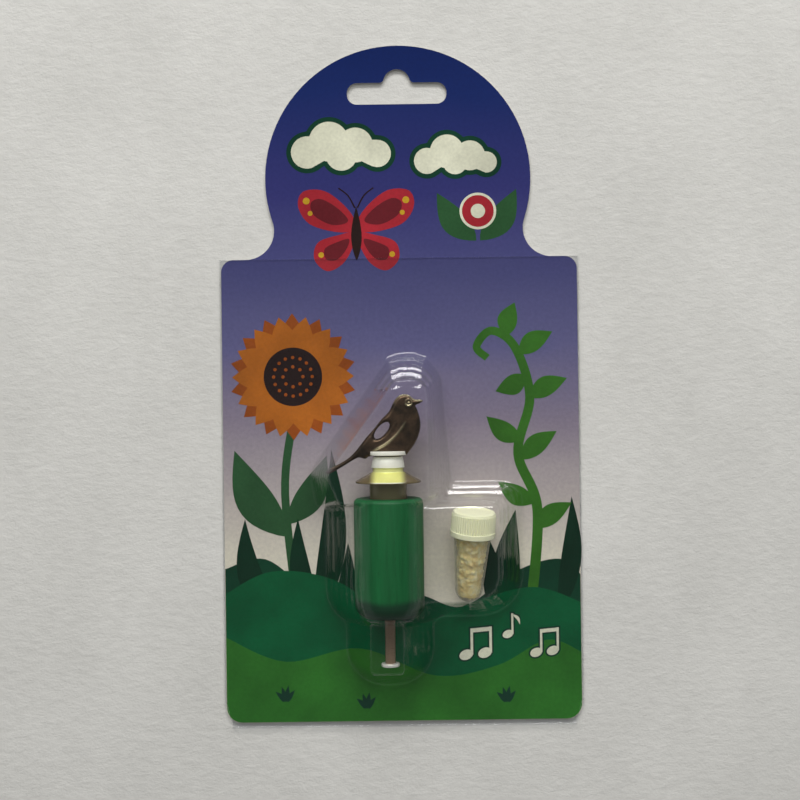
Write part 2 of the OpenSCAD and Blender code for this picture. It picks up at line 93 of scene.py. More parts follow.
@dataclass(frozen=True)
class Layout:
    """Places that several pieces share, as the solids have them."""

    half_w: float = 57.75
    foot_y: float = -109.45
    blister_top_y: float = 41.2
    fold_x: float = 56.95
    fold_z: float = 0.8
    card_half_w: float = 57.14
    card_foot_y: float = -107.5
    card_head_y: float = 109.45
    card_corner_r: float = 5.0
    card_front_z: float = 1.1
    sheet_front_z: float = 1.6
    call_x: float = -4.2
    call_z: float = 12.25
    mouth_y: float = -34.95
    bird_left: float = -23.6
    bird_low: float = -27.0
    bird_w: float = 30.7
    bird_h: float = 24.4
    vial_place: Triple = (20.6, -68.6, 5.1117)
    vial_lean: float = 4.0
    vial_tilt: float = 9.0

    def call(self) -> Matrix:
        """Gives the move from a turned piece's own axis to the call's, with the barrel's mouth at zero."""
        place = Matrix.Translation((self.call_x, self.mouth_y, self.call_z))
        return place @ Matrix.Rotation(-QUARTER_TURN, 4, "X")

    def vial(self) -> Matrix:
        """Gives the move from a turned piece's own axis to the vial's, with the tip at zero."""
        lean = Matrix.Rotation(-math.radians(self.vial_lean), 4, "Z")
        tilt = Matrix.Rotation(math.radians(self.vial_tilt) - QUARTER_TURN, 4, "X")
        return Matrix.Translation(self.vial_place) @ lean @ tilt

    def bird(self, share: Point) -> Point:
        """Turns a share of the bird's size into a flat place in the pack."""
        return (self.bird_left + share[0] * self.bird_w, self.bird_low + share[1] * self.bird_h)


LAYOUT = Layout()


class Body(Enum):
    """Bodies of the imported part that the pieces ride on."""

    BLISTER = "blister"
    CARD = "card"
    BARREL = "barrel"
    PLUG = "plug"
    SEAL = "cap_seal"
    CAP = "vial_cap"


# Materials


class Nodes:
    """A node tree whose nodes are added one at a time."""

    def __init__(self, owner: bpy.types.Material | bpy.types.World) -> None:
        """Starts on the tree of a material or a world.

        Args:
            owner: The material or the world.
        """
        owner.use_nodes = True
        self.tree = owner.node_tree

    def add(self, kind: str, inputs: dict[Any, Any] | None = None, **settings: Any) -> Any:
        """Adds a node.

        Args:
            kind: The node's type, without its common first word.
            inputs: Values or sockets for its inputs, by name or number.
            **settings: Values for its own properties.

        Returns:
            The node.
        """
        node = self.tree.nodes.new("ShaderNode" + kind)
        for key, value in settings.items():
            setattr(node, key, value)
        self.fill(node, inputs or {})
        return node

    def fill(self, node: Any, inputs: dict[Any, Any]) -> None:
        """Sets or links a node's inputs.

        Args:
            node: The node.
            inputs: Values or sockets, by input name or number.
        """
        for key, value in inputs.items():
            if isinstance(value, bpy.types.NodeSocket):
                self.tree.links.new(value, node.inputs[key])
            else:
                node.inputs[key].default_value = value

    def math(self, operation: str, *values: Any) -> Any:
        """Gives the result of a sum on numbers or sockets.

        Args:
            operation: The operation's name.
            *values: Its operands.

        Returns:
            The result's socket.
        """
        return self.add("Math", dict(enumerate(values)), operation=operation).outputs[0]

    def eased(self, value: Any, low: float, high: float, first: float = 0.0, last: float = 1.0) -> Any:
        """Gives a value that runs softly from one level to another.

        Args:
            value: The value's socket.
            low: Where the run starts.
            high: Where it ends.
            first: The level before it.
            last: The level after it.

        Returns:
            The level's socket.
        """
        inputs = {"Value": value, 1: low, 2: high, 3: first, 4: last}
        return self.add("MapRange", inputs, interpolation_type="SMOOTHSTEP").outputs[0]


class Shader(Nodes):
    """A material that is made from one plain shader and the nodes before it."""

    def __init__(self, name: str) -> None:
        """Starts the material.

        Args:
            name: The material's name.
        """
        self.material = bpy.data.materials.new(name)
        super().__init__(self.material)
        self.base = self.tree.nodes["Principled BSDF"]

    def place(self, stretch: Triple = (1, 1, 1), turn: float = 0.0) -> Any:
        """Gives the piece's own coordinates, stretched and turned about Z.

        Args:
            stretch: Scale along each axis.
            turn: Turn about Z, in degrees.

        Returns:
            The socket with the coordinates.
        """
        coords = self.add("TexCoord").outputs["Object"]
        inputs = {"Vector": coords, "Scale": stretch, "Rotation": (0, 0, math.radians(turn))}
        return self.add("Mapping", inputs).outputs["Vector"]

    def axis(self, name: str) -> Any:
        """Gives one of the piece's own coordinates, in metres."""
        return self.add("SeparateXYZ", {"Vector": self.place()}).outputs[name]

    def noise(self, vector: Any, scale: float, detail: float = 3, roughness: float = 0.5) -> Any:
        """Gives soft noise.

        Args:
            vector: Coordinates, in metres.
            scale: Features per metre.
            detail: Layers of finer noise.
            roughness: Strength of the finer layers.

        Returns:
            The noise's socket.
        """
        inputs = {"Vector": vector, "Scale": scale, "Detail": detail, "Roughness": roughness}
        return self.add("TexNoise", inputs).outputs["Fac"]

    def mix(self, share: Any, first: Any, second: Any, blend: str = "MIX") -> Any:
        """Gives a mix of two colours.

        Args:
            share: Share of the second colour.
            first: The first colour.
            second: The second colour.
            blend: How they mix.

        Returns:
            The colour's socket.
        """
        inputs = {0: share, 6: first, 7: second}
        return self.add("Mix", inputs, data_type="RGBA", blend_type=blend).outputs[2]

    def ramp(self, value: Any, stops: Sequence[tuple[float, Colour]]) -> Any:
        """Gives a colour that changes with a value.

        Args:
            value: The value's socket.
            stops: Places from 0 to 1 with their colours.

        Returns:
            The colour's socket.
        """
        node = self.add("ValToRGB", {"Fac": value})
        elements = node.color_ramp.elements
        while len(elements) < len(stops):
            elements.new(1.0)
        for element, (at, colour) in zip(elements, stops):
            element.position = at
            element.color = colour
        return node.outputs["Color"]

    def bump(self, height: Any, depth: float, strength: float = 1.0) -> Any:
        """Gives a normal bent by a height.

        Args:
            height: The height's socket, from 0 to 1.
            depth: Depth of the relief, in millimetres.
            strength: Strength of the effect.

        Returns:
            The normal's socket.
        """
        inputs = {"Height": height, "Distance": depth * MM, "Strength": strength}
        return self.add("Bump", inputs).outputs["Normal"]

    def facing(self, normal: Any | None = None) -> Any:
        """Gives how far a surface turns from the eye, from 0 to 1, alike on both of its sides.

        Args:
            normal: A bent normal, if there is one.

        Returns:
            The value's socket.
        """
        inputs = {"Blend": 0.5}
        if normal is not None:
            inputs["Normal"] = normal
        return self.add("LayerWeight", inputs).outputs["Facing"]

    def mirror_share(self, normal: Any | None, straight: float, power: float = 5.0) -> Any:
        """Gives the share of light that a clear surface mirrors.

        Args:
            normal: A bent normal, if there is one.
            straight: Share mirrored straight on.
            power: How late the share grows towards the rim.

        Returns:
            The share's socket.
        """
        rise = self.math("POWER", self.facing(normal), power)
        return self.math("MULTIPLY_ADD", rise, 1 - straight, straight)

    def finish(self, surface: Any | None = None) -> bpy.types.Material:
        """Links the surface and gives the material.

        Args:
            surface: A shader's socket, if it isn't the plain one.

        Returns:
            The material.
        """
        if surface is not None:
            self.tree.links.new(surface, self.tree.nodes["Material Output"].inputs["Surface"])
        return self.material

    def varnish(self, colour: Any, speck: Any, cloudy: Any, strength: float) -> bpy.types.Material:
        """Lays a glossy coat over a printed colour and gives the material.

        Args:
            colour: The colour's socket.
            speck: Fine noise, which breaks up the gloss.
            cloudy: Broad noise, which bends it.
            strength: Strength of the bend.

        Returns:
            The material.
        """
        self.fill(self.base, {
            "Base Color": colour,
            "Roughness": self.math("MULTIPLY_ADD", speck, 0.06, 0.15),
            "Specular IOR Level": 0.35,
            "Normal": self.bump(cloudy, 0.25, strength),
        })
        return self.finish()


@dataclass(frozen=True)
class PrintedBoard:
    """Board with a printed dusk sky on its front and bare pulp at its edges and back."""

    sky: tuple[tuple[float, Colour], ...] = (
        # The two lowest stops are partly the print's pale horizon and partly painted light, lightened so that
        # the card between the barrel and the vial, which they shade, shows light.
        (0.0, tone(232, 226, 204)),
        (0.24, tone(226, 220, 200)),
        (0.34, tone(188, 178, 174)),
        (0.445, tone(144, 133, 149)),
        (0.555, tone(103, 101, 143)),
        (0.66, tone(78, 79, 127)),
        (0.78, tone(52, 53, 112)),
        (0.93, tone(22, 40, 98)),
        (1.0, tone(14, 34, 90)),
    )
    pulp: Colour = tone(196, 194, 186)
    thin_ink: Colour = (1.0, 1.0, 1.0, 1.0)
    full_ink: Colour = (0.88, 0.88, 0.9, 1.0)
    grain: float = 900.0

    def make(self) -> bpy.types.Material:
        """Makes the board's material."""
        s = Shader("printed_board")
        span = LAYOUT.card_head_y - LAYOUT.card_foot_y
        height = s.math("MULTIPLY_ADD", s.axis("Y"), 1 / (span * MM), -LAYOUT.card_foot_y / span)
        cloudy = s.noise(s.place((1, 2.4, 1)), 26, 4)
        height = s.math("MULTIPLY_ADD", s.math("SUBTRACT", cloudy, 0.5), 0.05, height)
        sky = s.ramp(height, self.sky)
        speck = s.noise(s.place(), self.grain, 2)
        sky = s.mix(1.0, sky, s.ramp(speck, ((0.3, self.thin_ink), (0.7, self.full_ink))), "MULTIPLY")
        pulp = s.mix(speck, self.pulp, tone(168, 164, 152))
        on_front = s.math("GREATER_THAN", s.axis("Z"), (LAYOUT.card_front_z - 0.01) * MM)
        return s.varnish(s.mix(on_front, pulp, sky), speck, cloudy, 0.5)


@dataclass(frozen=True)
class Ink:
    """Flat printed colour, a little uneven as print is."""

    name: str
    colour: Colour
    shade: float = 0.3

    def make(self) -> bpy.types.Material:
        """Makes the ink's material."""
        s = Shader(self.name)
        cloudy = s.noise(s.place(), 45, 4)
        speck = s.noise(s.place(), 1100, 2)
        dark = tuple(c * (1 - self.shade) for c in self.colour[:3]) + (1.0,)
        colour = s.mix(s.ramp(cloudy, ((0.35, (0, 0, 0, 1)), (0.65, (1, 1, 1, 1)))), self.colour, dark)
        fine = s.ramp(speck, ((0.3, (1.0, 1.0, 1.0, 1.0)), (0.7, (0.88, 0.88, 0.88, 1.0))))
        return s.varnish(s.mix(1.0, colour, fine, "MULTIPLY"), speck, cloudy, 0.4)


@dataclass(frozen=True)
class ClearSheet:
    """Thin clear glossy sheet, wavy from its forming."""

    name: str = "clear_sheet"
    straight: float = 0.03
    clear: Colour = (0.984, 0.986, 0.99, 1)
    rim: Colour = (0.8, 0.82, 0.81, 1)
    draw_pitch: float = 2.6
    draw_share: float = 0.16
    draw_wander: float = 9.0

    def make(self) -> bpy.types.Material:
        """Makes the sheet's material."""
        s = Shader(self.name)
        wavy = s.noise(s.place((1, 1, 0.6)), 70, 2, 0.35)
        drawn = s.noise(s.place((1, 1, 0.12)), 420, 2, 0.4)
        relief = s.math("MULTIPLY_ADD", drawn, 0.12, wavy)
        waves = FULL_TURN / (self.draw_pitch * MM)
        phase = s.math("MULTIPLY_ADD", s.axis("Z"), waves, s.math("MULTIPLY", wavy, self.draw_wander))
        relief = s.math("MULTIPLY_ADD", s.math("SINE", phase), self.draw_share, relief)
        normal = s.bump(relief, 0.5, 0.55)
        through = s.ramp(s.math("POWER", s.facing(), 3.0), ((0.0, self.clear), (1.0, self.rim)))
        clear = s.add("BsdfTransparent", {"Color": through}).outputs[0]
        gloss = s.add("BsdfGlossy", {"Color": (1, 1, 1, 1), "Roughness": 0.06, "Normal": normal}).outputs[0]
        share = s.mirror_share(normal, self.straight)
        s.tree.nodes.remove(s.base)
        return s.finish(s.add("MixShader", {0: share, 1: clear, 2: gloss}).outputs[0])


@dataclass(frozen=True)
class CutEdge:
    """Cut edge of the clear sheet, which shows as a bright line."""

    name: str = "sheet_cut_edge"

    def make(self) -> bpy.types.Material:
        """Makes the edge's material."""
        s = Shader(self.name)
        nicks = s.noise(s.place(), 1500, 3)
        s.fill(s.base, {
            "Base Color": s.ramp(nicks, ((0.3, tone(178, 182, 178)), (0.7, tone(232, 234, 230)))),
            "Roughness": 0.2,
            "Alpha": 0.55,
        })
        return s.finish()


@dataclass(frozen=True)
class PaintedWood:
    """Satin green paint over turned wood, whose grain still shows along the barrel, with painted shade that
    darkens its rounded foot.
    """

    name: str = "green_wood"
    deep: Colour = tone(3, 82, 38)
    light: Colour = tone(16, 110, 56)
    # Painted shade: the foot colour darkens the barrel's rounded foot, which turns away from the lamp; the
    # values below set where it starts and how its edge bows and wanders.
    foot: Colour = tone(6, 54, 30)
    foot_shade_from: float = -66.9
    foot_shade_to: float = -64.6
    foot_shade_bow: float = 0.08
    foot_shade_wander: float = 1.6

    def make(self) -> bpy.types.Material:
        """Makes the wood's material."""
        s = Shader(self.name)
        grain = s.noise(s.place((1, 0.05, 1)), 620, 5, 0.6)
        broad = s.noise(s.place((1, 0.12, 1)), 110, 3)
        pores = s.noise(s.place((1, 0.09, 1)), 2600, 2, 0.7)
        share = s.math("MULTIPLY_ADD", grain, 0.5, s.math("MULTIPLY", broad, 0.5))
        colour = s.ramp(share, ((0.36, self.deep), (0.64, self.light)))
        fleck = s.math("GREATER_THAN", pores, 0.66)
        colour = s.mix(s.math("MULTIPLY", fleck, 0.35), colour, tone(8, 52, 26))
        # Painted shade: the paint goes over to the foot colour near the barrel's foot, along a line that bows
        # and wanders a little.
        side = s.math("ABSOLUTE", s.math("SUBTRACT", s.axis("X"), LAYOUT.call_x * MM))
        level = s.math("MULTIPLY_ADD", side, -self.foot_shade_bow, s.axis("Y"))
        level = s.math("MULTIPLY_ADD", broad, self.foot_shade_wander * MM, level)
        colour = s.mix(s.eased(level, self.foot_shade_from * MM, self.foot_shade_to * MM), self.foot, colour)
        relief = s.math("MULTIPLY_ADD", pores, 0.4, grain)
        s.fill(s.base, {
            "Base Color": colour,
            "Roughness": s.math("MULTIPLY_ADD", broad, 0.2, 0.38),
            "Specular IOR Level": 0.3,
            "Normal": s.bump(relief, 0.09, 0.6),
        })
        return s.finish()


@dataclass(frozen=True)
class TurnedMetal:
    """Turned metal with fine lathe lines round its own axis, coloured band by band from its foot upwards: the
    colours partly give the metal's own tone and partly paint the highlights, reflections and shade that the
    one metal shows.
    """

    name: str
    colour_and_light_bands: tuple[tuple[float, Colour], ...]
    # The darker colour serves both for the metal's blotches and for the dark side of the painted reflection.
    stain_and_dark_reflection: Colour
    metallic: float = 0.26
    roughness: float = 0.2
    lines: float = 5200.0
    # Painted reflection: the middle line's X and the distances from it over which the metal below its top
    # band goes dark, as the cone's sides mirror dark surroundings.
    painted_reflection: Triple | None = None
    satin: float = 0.0

    def make(self) -> bpy.types.Material:
        """Makes the metal's material."""
        s = Shader(self.name)
        along = s.noise(s.place((0.02, 1, 0.02)), self.lines, 2, 0.7)
        stains = s.noise(s.place(), 330, 4)
        side = s.axis("Y")
        # Each band's colour is partly the metal's tone and partly painted light: near white for highlights,
        # darker for shade and dark reflections.
        colour: Any = self.colour_and_light_bands[0][1]
        last: Any = None
        for start_y, band in self.colour_and_light_bands[1:]:
            last = s.math("GREATER_THAN", side, start_y * MM)
            colour = s.mix(last, colour, band)
        # Painted reflection: below the top band the colour goes dark away from the middle line, standing in
        # for the dark surroundings that the cone's sides mirror.
        if self.painted_reflection:
            middle, low, high = (size * MM for size in self.painted_reflection)
            across = s.math("ABSOLUTE", s.math("SUBTRACT", s.axis("X"), middle))
            below_last = s.math("SUBTRACT", 1.0, last)
            colour = s.mix(s.math("MULTIPLY", s.eased(across, low, high), below_last), colour, self.stain_and_dark_reflection)
        rough = s.math("MULTIPLY_ADD", last, self.satin, self.roughness)
        s.fill(s.base, {
            "Base Color": s.mix(s.math("MULTIPLY", stains, 0.2), colour, self.stain_and_dark_reflection),
            "Metallic": self.metallic,
            "Roughness": s.math("MULTIPLY_ADD", along, 0.1, rough),
            "Normal": s.bump(along, 0.02, 0.5),
        })
        return s.finish()


@dataclass(frozen=True)
class AgedBronze:
    """Dark cast metal, with a bright colour that paints wear where it stands out and painted highlights where
    its edges face the light.
    """

    name: str = "antique_bronze"
    dark: Colour = tone(66, 56, 44)
    brown: Colour = tone(98, 78, 60)
    # The bright colour paints both wear and highlights.
    rubbed_and_highlight: Colour = tone(244, 232, 184)

    def make(self) -> bpy.types.Material:
        """Makes the bronze's material."""
        s = Shader(self.name)
        blotch = s.noise(s.place(), 260, 5, 0.6)
        grit = s.noise(s.place(), 1900, 3, 0.6)
        # Share of the bright colour that the bird's relief sets, for wear and for painted highlight.
        wear_and_highlight = s.add("Attribute", attribute_name="wear_and_highlight").outputs["Fac"]
        patina = s.ramp(blotch, ((0.38, self.dark), (0.62, self.brown)))
        share = s.math("MULTIPLY", wear_and_highlight, s.math("MULTIPLY_ADD", grit, 0.9, 0.45))
        share = s.math("MINIMUM", share, 1.0)
        s.fill(s.base, {
            "Base Color": s.mix(share, patina, self.rubbed_and_highlight),
            "Metallic": 0.85,
            "Roughness": s.math("MULTIPLY_ADD", share, -0.16, s.math("MULTIPLY_ADD", blotch, 0.3, 0.24)),
            "Normal": s.bump(grit, 0.03, 0.6),
        })
        return s.finish()


@dataclass(frozen=True)
class VialPlastic:
    """Thin natural plastic, see-through with a faint haze."""

    name: str = "vial_plastic"
    haze: float = 0.07

    def make(self) -> bpy.types.Material:
        """Makes the vial's material."""
        s = Shader(self.name)
        flow = s.noise(s.place((1, 0.2, 1)), 240, 3)
        normal = s.bump(flow, 0.12, 0.4)
        s.fill(s.base, {"Base Color": tone(226, 222, 200), "Roughness": 0.16, "Normal": normal})
        clear = s.add("BsdfTransparent", {"Color": (0.985, 0.98, 0.955, 1)}).outputs[0]
        share = s.math("ADD", s.mirror_share(normal, 0.03, 3.0), s.math("MULTIPLY", flow, self.haze))
        share = s.math("MINIMUM", share, 1.0)
        return s.finish(s.add("MixShader", {0: share, 1: clear, 2: s.base.outputs[0]}).outputs[0])


@dataclass(frozen=True)
class Resin:
    """Cloudy amber rosin with paler broken faces."""

    name: str = "rosin_lumps"
    stops: tuple[tuple[float, Colour], ...] = (
        (0.34, tone(228, 198, 122)), (0.5, tone(248, 230, 160)), (0.66, tone(255, 250, 210)))

    def make(self) -> bpy.types.Material:
        """Makes the rosin's material."""
        s = Shader(self.name)
        lumps = s.noise(s.place(), 430, 4, 0.6)
        chips = s.add("TexVoronoi", {"Vector": s.place(), "Scale": 900.0}).outputs["Distance"]
        colour = s.ramp(lumps, self.stops)
        s.fill(s.base, {
            "Base Color": s.mix(s.math("MULTIPLY", chips, 0.35), colour, tone(240, 228, 184)),
            "Roughness": s.math("MULTIPLY_ADD", lumps, 0.3, 0.3),
            "Normal": s.bump(s.math("ADD", lumps, chips), 0.3, 0.6),
            "Subsurface Weight": 0.25,
            "Subsurface Radius": (1.0, 0.7, 0.4),
            "Subsurface Scale": 0.0008,
        })
        return s.finish()


@dataclass(frozen=True)
class MilkyPlastic:
    """Natural milky plastic with faint flow marks."""

    name: str
    colour: Colour
    roughness: float = 0.34
    soft: float = 0.3

    def make(self) -> bpy.types.Material:
        """Makes the plastic's material."""
        s = Shader(self.name)
        flow = s.noise(s.place((1, 0.35, 1)), 300, 3)
        fine = s.noise(s.place(), 3200, 2)
        s.fill(s.base, {
            "Base Color": s.mix(s.math("MULTIPLY", flow, 0.3), self.colour, tone(240, 242, 222)),
            "Roughness": s.math("MULTIPLY_ADD", fine, 0.12, self.roughness),
            "Normal": s.bump(fine, 0.01, 0.5),
            "Subsurface Weight": self.soft,
            "Subsurface Radius": (1.0, 1.0, 0.8),
            "Subsurface Scale": 0.0012,
        })
        return s.finish()


@dataclass(frozen=True)
class Paper:
    """White wall paper with a faint pressed texture, which the pack lies on."""

    name: str = "floor_paper"
    light: Colour = tone(216, 215, 210)
    shade: Colour = tone(203, 202, 197)

    def make(self) -> bpy.types.Material:
        """Makes the paper's material."""
        s = Shader(self.name)
        broad = s.noise(s.place((1, 0.8, 1), 24), 22, 5, 0.6)
        press = s.noise(s.place((0.7, 1.2, 1), 12), 330, 4, 0.65)
        fibre = s.noise(s.place(), 1100, 3, 0.6)
        share = s.math("MULTIPLY_ADD", press, 0.4, s.math("MULTIPLY", broad, 0.6))
        relief = s.math("MULTIPLY_ADD", fibre, 0.4, press)
        s.fill(s.base, {
            "Base Color": s.ramp(share, ((0.36, self.shade), (0.64, self.light))),
            "Roughness": 0.85,
            "Normal": s.bump(relief, 0.4, 0.7),
        })
        return s.finish()


# Mesh tools


def start() -> Mesh:
    """Starts an empty mesh."""
    return bmesh.new()


def finished(bm: Mesh, name: str) -> bpy.types.Mesh:
    """Turns a mesh that was worked on into one that an object can hold.

    Args:
        bm: The mesh. It is freed.
        name: The new mesh's name.

    Returns:
        The new mesh.
    """
    mesh = bpy.data.meshes.new(name)
    bm.to_mesh(mesh)
    bm.free()
    return mesh


def add_object(name: str, data: Any) -> bpy.types.Object:
    """Adds an object to the scene.

    Args:
        name: Its name.
        data: The mesh, lamp or camera that it holds.

    Returns:
        The object.
    """
    thing = bpy.data.objects.new(name, data)
    bpy.context.scene.collection.objects.link(thing)
    return thing


def verts_of(found: Iterable[Any]) -> list[Vert]:
    """Picks the vertices out of what an operator gives back."""
    return [g for g in found if isinstance(g, Vert)]


def cut_away(bm: Mesh, at: Sequence[float], normal: Sequence[float]) -> None:
    """Cuts a mesh at a plane and clears what lies on the side that the normal points to."""
    bmesh.ops.bisect_plane(bm, geom=bm.verts[:] + bm.edges[:] + bm.faces[:], dist=WELD, plane_co=at,
                           plane_no=normal, clear_outer=True)


def round_edges(bm: Mesh, edges: list[bmesh.types.BMEdge], size: float) -> None:
    """Rounds some of a mesh's edges."""
    bmesh.ops.bevel(bm, geom=edges, offset=size, offset_type="OFFSET", segments=ROUND_STEPS, profile=0.5,
                    affect="EDGES", material=-1, clamp_overlap=True)


def turned(profile: Sequence[Point], steps: int = 96, ring: bool = False) -> Mesh:
    """Spins a profile about Z.

    Args:
        profile: Radius and height of each corner, in order.
        steps: Faces round the piece.
        ring: True if the profile's last corner joins its first.

    Returns:
        A closed mesh.
    """
    bm = start()
    verts = [bm.verts.new((r, 0, z)) for r, z in profile]
    ends = verts[1:] + (verts[:1] if ring else [])
    edges = [bm.edges.new(pair) for pair in zip(verts, ends)]
    bmesh.ops.spin(bm, geom=verts + edges, cent=(0, 0, 0), axis=(0, 0, 1), dvec=(0, 0, 0),
                   angle=FULL_TURN, steps=steps, use_merge=True, use_duplicate=False)
    bmesh.ops.remove_doubles(bm, verts=bm.verts, dist=WELD)
    bmesh.ops.dissolve_degenerate(bm, edges=bm.edges, dist=WELD)
    bmesh.ops.recalc_face_normals(bm, faces=bm.faces)
    return bm


def soften(bm: Mesh, size: float, angle: float = 25.0) -> None:
    """Rounds a mesh's sharp edges.

    Args:
        bm: The mesh.
        size: Width of the round.
        angle: Least angle between faces, in degrees, of an edge that is rounded.
    """
    limit = math.radians(angle)
    round_edges(bm, [e for e in bm.edges if len(e.link_faces) == 2 and e.calc_face_angle(0) > limit], size)


def arc(cx: float, cy: float, radius: float, first: float, last: float, steps: int) -> Outline:
    """Gives points along an arc.

    Args:
        cx: The centre's X.
        cy: The centre's Y.
        radius: The radius.
        first: First angle, in degrees.
        last: Last angle, in degrees.
        steps: Number of steps.

    Returns:
        The points.
    """
    angles = [math.radians(first + (last - first) * i / steps) for i in range(steps + 1)]
    return [(cx + radius * math.cos(a), cy + radius * math.sin(a)) for a in angles]


def hump(value: float, centre: float, width: float) -> float:
    """Gives a smooth hump: 1 at its centre, and near 0 from two widths away."""
    return math.exp(-((value - centre) / width) ** 2)


def curve_through(points: Sequence[Point], steps: int, closed: bool) -> Outline:
    """Gives a smooth curve through points.

    Args:
        points: The points.
        steps: Points per stretch.
        closed: True for a ring.

    Returns:
        The curve's points.
    """
    count = len(points)
    found: Outline = []
    for i in range(count if closed else count - 1):
        picks = [(i + k) % count if closed else min(max(i + k, 0), count - 1) for k in (-1, 0, 1, 2)]
        a, b, c, d = (Vector(points[k]) for k in picks)
        for k in range(steps):
            t = k / steps
            p = (2 * b + (c - a) * t + (2 * a - 5 * b + 4 * c - d) * t ** 2
                 + (3 * b - a - 3 * c + d) * t ** 3) / 2
            found.append((p.x, p.y))
    if not closed:
        found.append(tuple(points[-1]))
    return found


def slab(outlines: Iterable[Outline], low: float, high: float) -> Mesh:
    """Makes flat plates from outlines, each a hair above the last so that no two fronts lie in one plane.

    Args:
        outlines: Closed outlines.
        low: Height of the plates' backs.
        high: Height of their fronts.

    Returns:
        The plates as one mesh.
    """
    bm = start()
    for k, outline in enumerate(outlines):
        face = bm.faces.new([bm.verts.new((x, y, low)) for x, y in outline])
        grown = bmesh.ops.extrude_face_region(bm, geom=[face])["geom"]
        bmesh.ops.translate(bm, verts=verts_of(grown), vec=(0, 0, high - low + HAIR * (k % HAIR_LAYERS)))
    bmesh.ops.recalc_face_normals(bm, faces=bm.faces)
    return bm


def remeshed(bm: Mesh, voxel: float) -> Mesh:
    """Melts overlapping solids into one even mesh.

    Args:
        bm: The solids. It is freed.
        voxel: Size of the new faces.

    Returns:
        The new mesh.
    """
    mesh = finished(bm, "melt")
    holder = add_object("melt", mesh)
    modifier = holder.modifiers.new("melt", "REMESH")
    modifier.mode = "VOXEL"
    modifier.voxel_size = voxel
    melted = start()
    melted.from_object(holder, bpy.context.evaluated_depsgraph_get())
    bpy.data.objects.remove(holder)
    bpy.data.meshes.remove(mesh)
    return melted


def smooth(bm: Mesh, rounds: int, factor: float = 0.5) -> None:
    """Evens a mesh out.

    Args:
        bm: The mesh.
        rounds: Number of passes.
        factor: How far a vertex moves to the middle of its neighbours.
    """
    for _ in range(rounds):
        bmesh.ops.smooth_vert(bm, verts=bm.verts, factor=factor, use_axis_x=True, use_axis_y=True,
                              use_axis_z=True)


def hull(bm: Mesh, verts: Sequence[Vert]) -> None:
    """Wraps vertices in their convex hull and clears what lies inside.

    Args:
        bm: The mesh.
        verts: The vertices.
    """
    found = bmesh.ops.convex_hull(bm, input=verts, use_existing_faces=False)
    inner = set(verts_of(found["geom_interior"] + found["geom_unused"]))
    bmesh.ops.delete(bm, geom=list(inner), context="VERTS")


@dataclass(frozen=True)
class Piece:
    """A finished piece's name and what it belongs to."""

    name: str
    body: Body
    slot: str
    stands_for: tuple[str, ...] = ()
    crease: float = 32.0

    def put(self, bm: Mesh, *materials: bpy.types.Material) -> bpy.types.Object:
        """Makes the object, rides it on its body and hides what it stands for.

        Args:
            bm: The mesh, in millimetres. It is freed.
            *materials: The materials, in slot order.

        Returns:
            The object.
        """
        bmesh.ops.scale(bm, vec=(MM, MM, MM), verts=bm.verts)
        mesh = finished(bm, self.name)
        mesh.polygons.foreach_set("use_smooth", [True] * len(mesh.polygons))
        mesh.set_sharp_from_angle(angle=math.radians(self.crease))
        for material in materials:
            mesh.materials.append(material)
        piece = add_object(self.name, mesh)
        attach(piece, self.body.value)
        if self.stands_for:
            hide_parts(*self.stands_for)
        LOG.info("%s: %d faces", self.name, len(mesh.polygons))
        return piece


def dress(node: str, material: bpy.types.Material) -> None:
    """Gives a solid of the part a material.

    Args:
        node: The node's name.
        material: The material.
    """
    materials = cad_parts[node].data.materials
    materials.clear()
    materials.append(material)
    LOG.info("%s: dressed", node)


# Card


class Tint(Enum):
    """Inks of the card's print."""

    FAR_HILL = (14, 70, 46)
    MID_HILL = (6, 98, 56)
    NEAR_HILL = (52, 122, 42)
    DEEP_LEAF = (11, 54, 34)
    LEAF = (48, 92, 54)
    VINE = (62, 122, 36)
    PETAL = (196, 112, 28)
    PETAL_BACK = (168, 84, 20)
    SEED = (44, 30, 28)
    RED = (180, 42, 54)
    DARK_RED = (112, 34, 42)
    CREAM = (238, 238, 212)
    OUTLINE = (22, 66, 48)
    YELLOW = (214, 170, 40)

    def ink(self) -> Ink:
        """Gives this tint as an ink."""
        return Ink("ink_" + self.name.lower(), tone(*self.value))


def leaf(root: Point, tip: Point, width: float, bow: float = 0.0) -> Outline:
    """Draws a pointed leaf.

    Args:
        root: The root.
        tip: The tip.
        width: Full width in the middle.
        bow: How far the middle stands to the left of the line from root to tip.

    Returns:
        The outline.
    """
    a, b = Vector(root), Vector(tip)
    side = (b - a).normalized().orthogonal()
    sides: list[Outline] = [[], []]
    for k in range(LEAF_STEPS + 1):
        t = k / LEAF_STEPS
        middle = a.lerp(b, t) + side * bow * math.sin(HALF_TURN * t)
        spread = side * width / 2 * math.sin(HALF_TURN * t ** 0.85)
        sides[0].append(tuple(middle + spread))
        sides[1].append(tuple(middle - spread))
    return sides[0] + sides[1][-2:0:-1]


def disc(x: float, y: float, radius: float, steps: int = 48) -> Outline:
    """Draws a disc.

    Args:
        x: The centre's X.
        y: The centre's Y.
        radius: The radius.
        steps: Points round it.

    Returns:
        The outline.
    """
    return arc(x, y, radius, 0, 360, steps)[:-1]


def oval(centre: Point, wide: float, high: float, turn: float, steps: int) -> Outline:
    """Draws an oval.

    Args:
        centre: The centre.
        wide: Half its width.
        high: Half its height.
        turn: Its turn, in degrees.
        steps: Points round it.

    Returns:
        The outline.
    """
    cos, sin = math.cos(math.radians(turn)), math.sin(math.radians(turn))
    spots = [(wide * math.cos(a), high * math.sin(a)) for a in (FULL_TURN * k / steps for k in range(steps))]
    return [(centre[0] + x * cos - y * sin, centre[1] + x * sin + y * cos) for x, y in spots]


